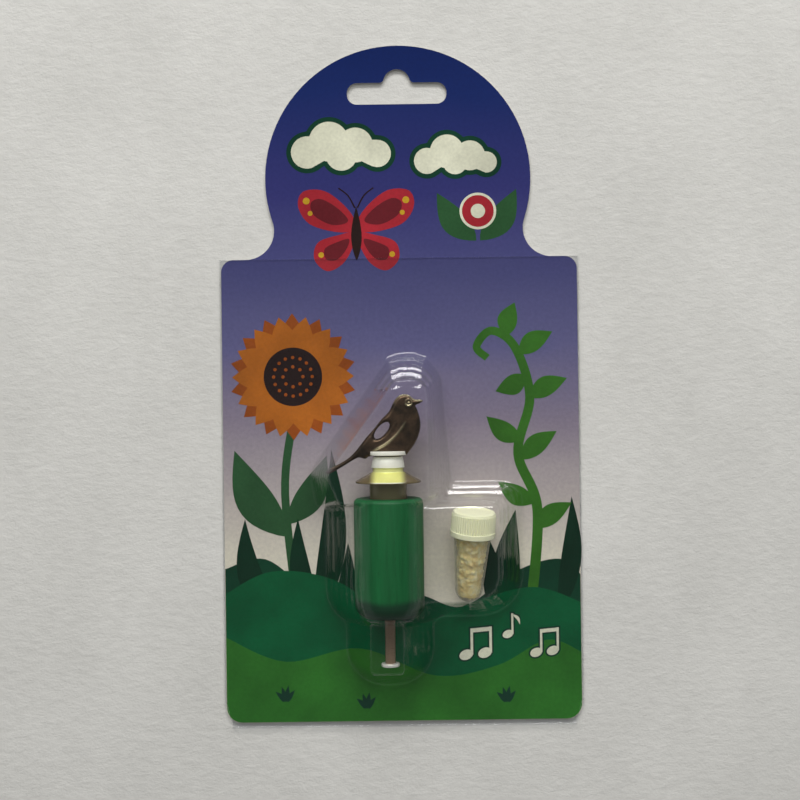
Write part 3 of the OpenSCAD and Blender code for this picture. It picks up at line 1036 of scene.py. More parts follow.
def cloud(centre: Point, discs: Sequence[Triple], grow: float = 0.0) -> Outline:
    """Draws a cloud round discs that can all be seen from its centre.

    Args:
        centre: The centre.
        discs: X, Y from the centre and radius of each disc.
        grow: How far the outline stands out.

    Returns:
        The outline.
    """
    found: Outline = []
    for k in range(CLOUD_STEPS):
        angle = FULL_TURN * k / CLOUD_STEPS
        ray = Vector((math.cos(angle), math.sin(angle)))
        far = 0.0
        for x, y, radius in discs:
            along = ray.x * x + ray.y * y
            apart = x * x + y * y - along * along
            room = (radius + grow) ** 2 - apart
            if room > 0:
                far = max(far, along + math.sqrt(room))
        found.append((centre[0] + ray.x * far, centre[1] + ray.y * far))
    return found


def bloom(centre: Point, inner: float, outer: float, width: float, start_at: float) -> list[Outline]:
    """Draws a ring of petals.

    Args:
        centre: The flower's centre.
        inner: Distance of the petals' roots.
        outer: Distance of their tips.
        width: A petal's width.
        start_at: Angle of the first, in degrees.

    Returns:
        The outlines.
    """
    found = []
    middle = Vector(centre)
    for k in range(PETALS):
        a = math.radians(start_at + 360 * k / PETALS)
        ray = Vector((math.cos(a), math.sin(a)))
        found.append(leaf(tuple(middle + ray * inner), tuple(middle + ray * outer), width))
    return found


def ribbon(points: Sequence[Point], width: float, steps: int = 10, thin: float = 0.5) -> Outline:
    """Draws a band along a curve.

    Args:
        points: Points of its middle line.
        width: Its width at the start.
        steps: Points per stretch.
        thin: Share of that width at its end.

    Returns:
        The outline.
    """
    line = [Vector(p) for p in curve_through(points, steps, False)]
    left: Outline = []
    right: Outline = []
    for k, here in enumerate(line):
        ahead = line[min(k + 1, len(line) - 1)] - line[max(k - 1, 0)]
        side = ahead.normalized().orthogonal()
        half = width / 2 * (1 - (1 - thin) * k / (len(line) - 1))
        left.append(tuple(here + side * half))
        right.append(tuple(here - side * half))
    return left + right[::-1]


Motif = tuple[str, Tint, int, list[Outline]]


@dataclass
class CardPrint:
    """Printed card: the board itself and flat motifs that lie on its front in thin layers of ink."""

    layer_t: float = 0.009
    sink: float = 0.004
    edge_inset: float = 0.1
    hill_steps: int = 8
    note_gap: float = 0.72
    note_lean: float = 22.0
    note_steps: int = 28
    stem_at: float = 0.22
    note_rim: float = 0.55

    def hill(self, crest: Sequence[Point]) -> Outline:
        """Draws a hill that fills the card below its crest.

        Args:
            crest: Points of the crest, from the card's left side to its right.

        Returns:
            The outline.
        """
        x = LAYOUT.card_half_w - self.edge_inset
        y = LAYOUT.card_foot_y + self.edge_inset
        r = LAYOUT.card_corner_r
        top = curve_through([(-x, crest[0][1]), *crest[1:-1], (x, crest[-1][1])], self.hill_steps, False)
        right = arc(x - r, y + r, r, 0, -90, 10)
        left = arc(-x + r, y + r, r, 270, 180, 10)
        return top + right + left

    def note(self, x: float, y: float, size: float, grow: float, pair: bool) -> list[Outline]:
        """Draws a musical note.

        Args:
            x: The head's X.
            y: The head's Y.
            size: Height of its stem.
            grow: How far the outline stands out.
            pair: True for two notes under one beam.

        Returns:
            The outlines.
        """
        wide, high, thick = 0.27 * size + grow, 0.19 * size + grow, 0.05 * size + grow
        found = []
        for at in ((0.0, self.note_gap * size) if pair else (0.0,)):
            low = y + 0.1 * at
            found.append(oval((x + at, low), wide, high, self.note_lean, self.note_steps))
            stem, end = x + at + self.stem_at * size, low + size + grow
            found.append([(stem - thick, low), (stem + thick, low), (stem + thick, end), (stem - thick, end)])
        top = y + size + grow
        left = x + self.stem_at * size - thick
        if pair:
            right = left + self.note_gap * size + 2 * thick
            found.append([(left, top - 0.16 * size - 2 * grow), (right, top - 0.09 * size - 2 * grow),
                          (right, top + 0.07 * size), (left, top)])
        else:
            found.append(leaf((left + thick, top - thick), (left + 0.42 * size + grow, top - 0.55 * size),
                              0.15 * size + 2 * grow, 0.1 * size))
        return found

    def sky_motifs(self) -> list[Motif]:
        """Draws what stands in the card's head and sky."""
        left_cloud = ((-11, -1, 5.2), (-4, 2.4, 6.4), (4.5, 1.2, 5.6), (11.5, -1.6, 4.4), (0, -2, 5))
        right_cloud = ((-9, -1.2, 4.2), (-2.6, 1.8, 5.4), (4.8, 0.4, 4.8), (10, -1.8, 3.4), (0, -1.6, 4))
        clouds = (((-18, 76.5), left_cloud), ((18.5, 73.5), right_cloud))
        fly = (-13.5, 50.5)
        wings = [
            [(0.5, 1), (-3, 7), (-10, 12.5), (-17, 12.4), (-18.6, 7.5), (-15, 2), (-7, -0.6), (-1, -0.6)],
            [(0.2, -0.8), (-5.5, -1.6), (-12.4, -4), (-13.6, -9.4), (-9.6, -13.2), (-4.6, -11), (-1.4, -6)],
        ]
        spots = [
            [(-2.6, 2.8), (-6, 7), (-11.4, 10), (-14.6, 8.6), (-13.4, 4.6), (-7.6, 1.6)],
            [(-2.4, -3), (-6.4, -4), (-10.2, -6), (-9.8, -9.4), (-6.4, -9.6), (-3.4, -6.4)],
        ]

        def both(shapes: Sequence[Sequence[Point]]) -> list[Outline]:
            """Gives each shape on the left and on the right of the insect's middle."""
            return [curve_through([(fly[0] - side * x, fly[1] + y) for x, y in shape], 6, True)
                    for shape in shapes for side in (-1, 1)]

        dots = [disc(fly[0] + side * x, fly[1] + y, r, 24)
                for side in (-1, 1) for x, y, r in ((16, 9.4, 1.1), (14.8, 5.4, 0.8), (11.4, -8, 0.9))]
        feelers = [ribbon([(fly[0] + side * 0.4, fly[1] + 7), (fly[0] + side * 2.6, fly[1] + 11),
                           (fly[0] + side * 5.6, fly[1] + 13.4)], 0.5, 8, 0.8) for side in (-1, 1)]
        badge = (25.6, 56)
        head_leaves = [leaf((25, 46.5), (12.5, 62), 8.4, 1.6), leaf((26.2, 46.5), (38, 63), 8.4, -1.6)]
        body = leaf((fly[0], fly[1] - 10), (fly[0], fly[1] + 7.6), 3.4)
        return [
            ("print_head_leaves", Tint.LEAF, 1, head_leaves),
            ("print_cloud_outlines", Tint.OUTLINE, 2, [cloud(c, d, 1.5) for c, d in clouds]),
            ("print_clouds", Tint.CREAM, 3, [cloud(c, d) for c, d in clouds]),
            ("print_badge_rim", Tint.CREAM, 3, [disc(*badge, 5.9)]),
            ("print_badge", Tint.RED, 4, [disc(*badge, 5.1)]),
            ("print_badge_dot", Tint.CREAM, 5, [disc(*badge, 2.3)]),
            ("print_wings", Tint.RED, 3, both(wings)),
            ("print_wing_spots", Tint.DARK_RED, 4, both(spots)),
            ("print_wing_dots", Tint.YELLOW, 5, dots),
            ("print_insect_body", Tint.SEED, 5, [body, *feelers]),
        ]

    def garden_motifs(self) -> list[Motif]:
        """Draws what grows from the hills."""
        far = [(0, -58), (-44, -55), (-29, -66), (-12, -72), (4, -67), (19, -71), (36, -60), (50, -56),
               (0, -61)]
        mid = [(0, -66), (-42, -59), (-22, -62), (2, -76), (24, -69), (42, -65), (0, -70)]
        near = [(0, -80), (-38, -88), (-14, -84), (10, -93), (30, -90), (46, -82), (0, -86)]
        flower = (-34.5, 3.5)
        stem = [(-35, -12), (-37.5, -34), (-34, -72)]
        stem_leaves = [leaf((-36.6, -48), (-53.6, -20), 12, 3), leaf((-37, -44), (-24, -22), 9, -2)]
        vine = [(41, -72), (43.5, -40), (37.5, -22), (41.5, -4), (37, 12), (29.5, 17.5), (24.6, 12.5),
                (28, 8.8)]
        vine_leaves = [((43, -46), (54.5, -38)), ((42.6, -38), (31, -31)), ((38.4, -24), (50, -15)),
                       ((38.6, -18), (27.5, -10)), ((41.4, -4), (53.5, 2)), ((40.4, 3), (30.5, -2)),
                       ((38, 10), (49, 17)), ((34, 15.6), (37, 26.5))]
        blades = [((-29, -78), (-22.5, -20), 8.5, -3.5), ((-27, -78), (-33.5, -42), 7, 2.5),
                  ((-23, -80), (-17.5, -50), 6, -2), ((-40, -76), (-50.5, -42), 8, 4),
                  ((29, -78), (24.5, -44), 6.5, -2), ((34, -78), (36.5, -40), 9, 2),
                  ((50, -74), (54.5, -36), 6.5, -2)]
        tufts = [leaf((x + lean * 0.2, y), (x + lean, y + tall), 1.5, lean * 0.12)
                 for x, y in ((-38, -101), (-12, -103.5), (33, -102))
                 for lean, tall in ((-3.4, 3.4), (-1.4, 5), (0.8, 5.4), (2.8, 3.8))]
        notes = [(20, -86.5, 8.4, True), (33.5, -80, 6.6, False), (42.5, -86, 7.4, True)]
        seeds = [disc(flower[0] + r * math.cos(a), flower[1] + r * math.sin(a), 0.55, 12)
                 for r, count in ((3.2, 8), (6.2, 16)) for a in (FULL_TURN * k / count for k in range(count))]
        outlines, fronts = ([o for x, y, size, pair in notes for o in self.note(x, y, size, grow, pair)]
                            for grow in (self.note_rim, 0.0))
        return [
            ("print_far_hill", Tint.FAR_HILL, 0, [self.hill(far)]),
            ("print_stem", Tint.LEAF, 1, [ribbon(stem, 2.6, 8, 1.0)]),
            ("print_stem_leaves", Tint.LEAF, 2, stem_leaves),
            ("print_blades", Tint.DEEP_LEAF, 3, [leaf(a, b, w, bow) for a, b, w, bow in blades]),
            ("print_vine", Tint.VINE, 4, [ribbon(vine, 3.4, 10, 0.7)]),
            ("print_vine_leaves", Tint.VINE, 5, [leaf(a, b, 6.4, 0.8) for a, b in vine_leaves]),
            ("print_mid_hill", Tint.MID_HILL, 6, [self.hill(mid)]),
            ("print_near_hill", Tint.NEAR_HILL, 7, [self.hill(near)]),
            ("print_tufts", Tint.OUTLINE, 8, tufts),
            ("print_petals_back", Tint.PETAL_BACK, 3, bloom(flower, 7, 20.4, 7.4, 13)),
            ("print_petals", Tint.PETAL, 4, bloom(flower, 6, 19.6, 7.8, 0)),
            ("print_flower_heart", Tint.SEED, 5, [disc(*flower, 9.4, 64)]),
            ("print_seeds", Tint.PETAL_BACK, 6, seeds),
            ("print_note_outlines", Tint.OUTLINE, 8, outlines),
            ("print_notes", Tint.CREAM, 9, fronts),
        ]

    def build(self) -> None:
        """Dresses the board and lays each motif on it."""
        dress("backing_card", PrintedBoard().make())
        inks = {tint: tint.ink().make() for tint in Tint}
        low = LAYOUT.card_front_z - self.sink
        for name, tint, level, outlines in self.sky_motifs() + self.garden_motifs():
            high = LAYOUT.card_front_z + self.layer_t * (level + 1)
            Piece(name, Body.CARD, "card").put(slab(outlines, low, high), inks[tint])


# Blister


@dataclass(frozen=True)
class Ripple:
    """Row of forming marks: where they lie, along which axis they run, and how deep they are."""

    x: Point
    y: Point
    z: Point
    axis: int
    start: float
    pitch: float
    depth: float
    lean: float
    soft: Triple
    below: float = 0.0


@dataclass
class Blister:
    """Clear shell drawn over the call and the vial, with its edges folded behind the card."""

    sheet_t: float = 0.35
    voxel: float = 0.6
    melt_rounds: int = 5
    flap_w: float = 7.0
    fold_steps: int = 8
    corner_cut_w: float = 2.5
    corner_cut_h: float = 8.0
    region: tuple[float, float, float, float] = (-35.0, 44.0, -101.0, 15.0)
    spare: float = 3.0
    depth: float = 4.0
    foot_r: float = 5.0
    low_r: float = 13.5
    rest_gap: float = 0.3
    barrel_r: float = 10.85
    barrel_len: float = 36.85
    barrel_past: Triple = (9.65, 5.2, 7.2)
    barrel_ends: Point = (-32.85, 3.6)
    barrel_foot_in: float = 4 / 3
    bird_foot_r: float = 2.5
    bird_ball_r: float = 2.0
    bird_top: float = 22.9
    bird_low: tuple[Point, ...] = (
        (-0.095, -0.01), (0.69, 1.375), (0.76, 1.408), (0.842, 1.42), (0.925, 1.408), (0.995, 1.375),
        (1.065, 1.29), (1.11, 1.19), (1.21, -0.25), (-0.045, -0.37),
    )
    bird_high: tuple[Point, ...] = (
        (0.1, -0.02), (0.73, 1.075), (0.78, 1.098), (0.83, 1.105), (0.88, 1.098), (0.93, 1.075),
        (0.96, 1.03), (0.97, 0.965), (0.98, -0.25), (0.18, -0.29),
    )
    vial_right: float = 38.4
    vial_low: float = -73.5
    vial_high: float = -31.56
    vial_top: float = 17.85
    vial_draft: Triple = (8.3, 6.2, 5.0)
    ball_r: float = 2.5
    disc_r: float = 8.0
    pin_low: float = 23.1
    pin_foot_r: float = 12.5
    pin_foot_half: float = 1.5
    pin_neck_half: float = 13.0
    pin_neck_r: float = 1.0
    pin_top: float = 17.0
    pin_top_low: float = 17.4
    pin_top_half: float = 5.25
    pin_top_left: float = 0.9
    pin_ball_r: float = 1.6
    lean_fade: float = 0.3
    ripples: tuple[Ripple, ...] = (
        Ripple((-9.0, 15.0), (-1.0, 14.0), (9.6, 22.4), 2, 2.0, 4.6, 0.78, 0.3, (0.1, 0.1, 2.0)),
        Ripple((-4.0, 7.0), (-3.0, 1.6), (20.0, 24.0), 1, 0.9, 3.0, 0.25, -0.5, (1.5, 0.8, 0.5), 1.0),
        Ripple((13.6, 32.4), (-40.0, -26.0), (1.6, 13.6), 2, 1.6, 4.6, 0.8, 0.3, (1.0, 0.1, 2.0)),
    )

    def ring(self, bm: Mesh, place: Matrix, radius: float, steps: int) -> list[Vert]:
        """Adds a ring of vertices."""
        return bmesh.ops.create_circle(bm, cap_ends=False, segments=steps, radius=radius,
                                       matrix=place)["verts"]

    def ball(self, bm: Mesh, x: float, y: float, top: float, radius: float) -> list[Vert]:
        """Adds a ball whose top touches a height.

        Args:
            bm: The mesh.
            x: Its X.
            y: Its Y.
            top: The height.
            radius: Its radius.

        Returns:
            The vertices.
        """
        place = Matrix.Translation((x, y, top - radius))
        return bmesh.ops.create_uvsphere(bm, u_segments=24, v_segments=12, radius=radius,
                                         matrix=place)["verts"]

    def feet(self, bm: Mesh, places: Iterable[Point], radius: float) -> list[Vert]:
        """Adds a bay's rounded lower corners.

        Args:
            bm: The mesh.
            places: The corners' centres.
            radius: Their radius.

        Returns:
            The vertices.
        """
        levels = (LAYOUT.sheet_front_z - self.spare / 2, LAYOUT.sheet_front_z)
        return [v for x, y in places for z in levels
                for v in self.ring(bm, Matrix.Translation((x, y, z)), radius, 28)]

    def barrel_bay(self, bm: Mesh) -> None:
        """Adds the bay over the barrel.

        Args:
            bm: The mesh of the bays.
        """
        x, y, grow = LAYOUT.call_x, LAYOUT.mouth_y, self.sheet_t
        past_side, past_foot, past_mouth = self.barrel_past
        half, low, high = self.barrel_r + past_side, y - self.barrel_len - past_foot, y + past_mouth
        verts: list[Vert] = []
        for r, at in ((self.low_r, low + self.low_r), (self.foot_r, high - self.foot_r)):
            verts += self.feet(bm, [(x + side * (half - r), at) for side in (-1, 1)], r + grow)
        bay_r = self.barrel_r + self.rest_gap + grow
        ends = [(z, bay_r) for z in self.barrel_ends]
        for z, radius in (*ends, (-self.barrel_len - self.rest_gap - grow, bay_r - self.barrel_foot_in)):
            verts += self.ring(bm, LAYOUT.call() @ Matrix.Translation((0, 0, z)), radius, 72)
        hull(bm, verts)

    def bird_bay(self, bm: Mesh) -> None:
        """Adds the sloping bay over the bird and the flange.

        Args:
            bm: The mesh of the bays.
        """
        grow = self.sheet_t
        verts = self.feet(bm, [LAYOUT.bird(share) for share in self.bird_low], self.bird_foot_r + grow)
        for share in self.bird_high:
            verts += self.ball(bm, *LAYOUT.bird(share), self.bird_top + grow, self.bird_ball_r + grow)
        hull(bm, verts)

    def vial_bay(self, bm: Mesh) -> None:
        """Adds the bay over the vial.

        Args:
            bm: The mesh of the bays.
        """
        left, right, low, high = LAYOUT.call_x, self.vial_right, self.vial_low, self.vial_high
        foot, ball, grow = self.foot_r, self.ball_r, self.sheet_t
        corners = [(left, low + foot), (left, high - foot), (right - foot, high - foot)]
        verts = self.feet(bm, corners, foot + grow)
        verts += self.feet(bm, [(right - self.low_r, low + self.low_r)], self.low_r + grow)
        side, under, over = right - self.vial_draft[0], low + self.vial_draft[1], high - self.vial_draft[2]
        places = [(left, under + ball), (left, over - ball), (side - ball, over - ball)]
        places += arc(side - self.disc_r, under + self.disc_r, self.disc_r - ball, 0, 360, 12)[:-1]
        for x, y in places:
            verts += self.ball(bm, x, y, self.vial_top + grow, ball + grow)
        hull(bm, verts)

    def pin_bay(self, bm: Mesh) -> None:
        """Adds the box-like bay over the pin.

        Args:
            bm: The mesh of the bays.
        """
        x, head, grow, ball = LAYOUT.call_x, LAYOUT.mouth_y - self.barrel_len, self.sheet_t, self.pin_ball_r
        low, neck = head - self.pin_low - grow + self.pin_foot_r, head + self.pin_neck_r
        verts: list[Vert] = []
        rows = ((self.pin_foot_half, low, self.pin_foot_r), (self.pin_neck_half, neck, self.pin_neck_r))
        for half, y, r in rows:
            verts += self.feet(bm, [(x + side * half, y) for side in (-1, 1)], r + grow)
        for side in (-1, 1):
            for y in (head - self.pin_top_low - grow + ball, neck):
                at = x - self.pin_top_left + side * (self.pin_top_half + grow - ball)
                verts += self.ball(bm, at, y, self.pin_top + grow, ball)
        hull(bm, verts)

    def ripple(self, bm: Mesh, marks: Ripple) -> None:
        """Draws forming marks on the skin.

        Args:
            bm: The skin.
            marks: The marks.
        """
        bm.normal_update()
        for v in bm.verts:
            room = [min(at - low, high - at) for at, (low, high) in zip(v.co, (marks.x, marks.y, marks.z))]
            lean = (v.normal.y - marks.lean) / self.lean_fade
            fade = min(*(r / soft for r, soft in zip(room, marks.soft)), lean, 1.0)
            if fade > 0:
                wave = math.sin(FULL_TURN * (v.co[marks.axis] - marks.start) / marks.pitch)
                v.co += v.normal * (marks.depth * fade * (wave - marks.below))

    def skin(self) -> Mesh:
        """Draws the sheet's outer face over the bays, as an open mesh with straight sides."""
        x0, x1, y0, y1 = self.region
        bm = start()
        size = (x1 - x0 + 2 * self.spare, y1 - y0 + 2 * self.spare, self.depth)
        middle = ((x0 + x1) / 2, (y0 + y1) / 2, LAYOUT.sheet_front_z - self.depth / 2)
        bmesh.ops.create_cube(bm, size=1, matrix=Matrix.Translation(middle) @ Matrix.Diagonal((*size, 1)))
        for bay in (self.barrel_bay, self.bird_bay, self.vial_bay, self.pin_bay):
            bay(bm)
        bm = remeshed(bm, self.voxel)
        smooth(bm, self.melt_rounds)
        for marks in self.ripples:
            self.ripple(bm, marks)
        for at, normal in (((x0, 0, 0), (-1, 0, 0)), ((x1, 0, 0), (1, 0, 0)), ((0, y0, 0), (0, -1, 0)),
                           ((0, y1, 0), (0, 1, 0)), ((0, 0, LAYOUT.sheet_front_z - 1), (0, 0, -1))):
            cut_away(bm, at, normal)
        flat = self.voxel / 8
        for v in bm.verts:
            if abs(v.co.z - LAYOUT.sheet_front_z) < flat:
                v.co.z = LAYOUT.sheet_front_z
        bmesh.ops.recalc_face_normals(bm, faces=bm.faces)
        return bm

    def spread(self, bm: Mesh) -> None:
        """Runs the skin's straight sides out to the fold lines.

        Args:
            bm: The skin.
        """
        x0, x1, y0, y1 = self.region
        edges = [e for e in bm.edges if e.is_boundary]
        grown = bmesh.ops.extrude_edge_only(bm, edges=edges)["geom"]
        near = self.voxel / 50
        foot = LAYOUT.foot_y + LAYOUT.fold_z
        for v in verts_of(grown):
            x, y = v.co.x, v.co.y
            v.co.x = -LAYOUT.fold_x if x < x0 + near else LAYOUT.fold_x if x > x1 - near else x
            v.co.y = foot if y < y0 + near else LAYOUT.blister_top_y if y > y1 - near else y
        cut_y = LAYOUT.foot_y + self.corner_cut_h
        run = LAYOUT.fold_x - (LAYOUT.half_w - self.corner_cut_w)
        for side in (-1, 1):
            cut_away(bm, (side * LAYOUT.fold_x, cut_y, 0), (side * (cut_y - foot), -run, 0))

    def fold(self, bm: Mesh, on_line: Callable[[Vector], bool], centre: Vector, axis: Vector,
             inward: Vector) -> None:
        """Turns the edges on one line round behind the card and adds the flap.

        Args:
            bm: The sheet.
            on_line: Says if a place is on the line.
            centre: A point on the fold's axis.
            axis: The fold's axis.
            inward: Run of the flap.
        """
        edges = [e for e in bm.edges if e.is_boundary and all(on_line(v.co) for v in e.verts)]
        verts = list({v for e in edges for v in e.verts})
        last = bmesh.ops.spin(bm, geom=verts + edges, cent=centre, axis=axis, dvec=(0, 0, 0), angle=HALF_TURN,
                              steps=self.fold_steps, use_merge=False, use_duplicate=False)["geom_last"]
        ends = [g for g in last if isinstance(g, bmesh.types.BMEdge)]
        grown = bmesh.ops.extrude_edge_only(bm, edges=ends)["geom"]
        bmesh.ops.translate(bm, verts=verts_of(grown), vec=inward)

    def meets(self, place: float, line: float) -> bool:
        """Says if a place is on a line, to within a small share of a voxel."""
        return abs(place - line) < self.voxel / 50

    def build(self) -> None:
        """Draws the sheet, folds its edges, gives it its thickness and dresses it."""
        bm = self.skin()
        self.spread(bm)
        z, foot = LAYOUT.fold_z, LAYOUT.foot_y + LAYOUT.fold_z
        for side in (-1, 1):
            line = side * LAYOUT.fold_x
            self.fold(bm, lambda p, at=line: self.meets(p.x, at) and self.meets(p.z, LAYOUT.sheet_front_z),
                      Vector((line, 0, z)), Vector((0, side, 0)), Vector((-side * self.flap_w, 0, 0)))
        self.fold(bm, lambda p: self.meets(p.y, foot) and self.meets(p.z, LAYOUT.sheet_front_z),
                  Vector((0, foot, z)), Vector((1, 0, 0)), Vector((0, self.flap_w, 0)))
        bmesh.ops.remove_doubles(bm, verts=bm.verts, dist=WELD)
        bmesh.ops.recalc_face_normals(bm, faces=bm.faces)
        highest = max(bm.faces, key=lambda f: f.calc_center_median().z)
        if highest.normal.z < 0:
            bmesh.ops.reverse_faces(bm, faces=bm.faces)
        piece = Piece("clear_blister", Body.BLISTER, "clear_sheet", ("blister_shell",), 50.0)
        rims = [e.is_boundary for e in bm.edges]
        obj = piece.put(bm, ClearSheet().make(), CutEdge().make())
        for edge, rim in zip(obj.data.edges, rims):
            edge.use_edge_sharp = edge.use_edge_sharp or rim
        wall = obj.modifiers.new("wall", "SOLIDIFY")
        wall.thickness = self.sheet_t * MM
        wall.offset = -1
        wall.use_even_offset = True
        wall.thickness_clamp = 1.0
        wall.material_offset_rim = 1
        wall.use_rim = True


# Call


@dataclass
class Barrel:
    """Turned wooden barrel with a rounded foot and a bevelled mouth."""

    radius: float = 10.85
    length: float = 36.85
    foot_r: float = 4.0
    bevel: float = 0.9
    bore_r: float = 5.9
    bore_depth: float = 29.2
    pin_bore_r: float = 1.68
    mouth_round: float = 0.2

    def build(self) -> None:
        """Turns the barrel and paints it."""
        foot = arc(self.radius - self.foot_r, -self.length + self.foot_r, self.foot_r, -90, 0, 12)
        profile = [(self.pin_bore_r, -self.length), *foot, (self.radius, -self.length / 2),
                   (self.radius, -self.bevel), (self.radius - self.bevel, 0), (self.bore_r, 0),
                   (self.bore_r, -self.bore_depth), (self.pin_bore_r, -self.bore_depth)]
        bm = turned(profile, 128, True)
        rims = [e for e in bm.edges if all(v.co.z > -self.bevel - WELD for v in e.verts)
                and e.calc_face_angle(0) > math.radians(20)]
        round_edges(bm, rims, self.mouth_round)
        bm.transform(LAYOUT.call())
        Piece("wooden_barrel", Body.BARREL, "green_wood", ("barrel",)).put(bm, PaintedWood().make())


@dataclass
class Plug:
    """Metal plug: stem, thin flange with its cone, waist, spool, and the pin that holds it in the barrel."""

    stem_r: float = 5.85
    stem_in: float = 24.0
    stem_bevel: float = 0.9
    stem_show: float = 4.9
    flange_r: float = 10.2
    rim_t: float = 0.5
    cone_h: float = 2.7
    waist_r: float = 4.8
    waist_h: float = 1.5
    spool_foot_r: float = 5.2
    spool_top_r: float = 4.6
    spool_h: float = 3.35
    pin_r: float = 1.6
    pin_from: float = -18.0
    pin_to: float = -51.45
    pin_head_r: float = 2.85
    pin_head_t: float = 0.9
    pin_round: float = 0.18
    turned_round: float = 0.12
    # Distances from the call's middle line over which the cone's painted reflection goes dark.
    painted_reflection_from: float = 3.4
    painted_reflection_to: float = 6.0

    def build(self) -> None:
        """Turns the plug and its pin."""
        cone = self.stem_show + self.rim_t
        waist = cone + self.cone_h
        spool = waist + self.waist_h
        seat = spool + self.spool_h
        y = LAYOUT.mouth_y
        # Painted light on one metal: the stem and the flange's underside dark olive as painted shade, the
        # flange's upper rim and the spool near white as painted highlights, the cone and the waist bright
        # yellow, partly the brass's own tone and partly painted highlight.
        colour_and_light_bands = ((y, tone(122, 114, 84)), (y + self.stem_show - 0.01, tone(120, 108, 62)),
                 (y + self.stem_show + 0.25, tone(252, 252, 226)), (y + cone + 0.05, tone(252, 252, 150)),
                 (y + waist + 0.1, tone(246, 248, 168)), (y + spool - 0.02, tone(255, 255, 242)))
        # The darker colour is both the metal's blotches and the dark side of the cone's painted reflection.
        metal = TurnedMetal("plug_metal", colour_and_light_bands, tone(112, 98, 66), 0.17, satin=0.28,
                            painted_reflection=(LAYOUT.call_x, self.painted_reflection_from, self.painted_reflection_to))
        low, bevel = -self.stem_in, self.stem_bevel
        bm = turned([(0, low), (self.stem_r - bevel, low), (self.stem_r, low + bevel),
                     (self.stem_r, self.stem_show), (self.flange_r, self.stem_show), (self.flange_r, cone),
                     (self.waist_r + 0.5, waist), (self.waist_r, waist + 0.2), (self.waist_r, spool),
                     (self.spool_foot_r, spool), (self.spool_top_r, seat), (0, seat)])
        soften(bm, self.turned_round)
        bm.transform(LAYOUT.call())
        Piece("neck_plug", Body.PLUG, "polished_metal", ("flanged_plug",)).put(bm, metal.make())
        # Painted light on one steel: the head near white as a painted highlight, the shank brown as a painted
        # reflection.
        colour_and_light_bands = ((0, tone(250, 250, 240)), (y + self.pin_to + 0.05, tone(136, 116, 94)))
        steel = TurnedMetal("pin_steel", colour_and_light_bands, tone(132, 116, 92), 0.48, 0.24)
        end = self.pin_to - self.pin_head_t
        bm = turned([(0, end), (self.pin_head_r, end), (self.pin_head_r, self.pin_to),
                     (self.pin_r, self.pin_to), (self.pin_r, self.pin_from), (0, self.pin_from)], 64)
        soften(bm, self.pin_round)
        bm.transform(LAYOUT.call())
        made = steel.make()
        Piece("headed_pin", Body.PLUG, "steel", ("retaining_pin",)).put(bm, made)
        dress("finial_stud", made)


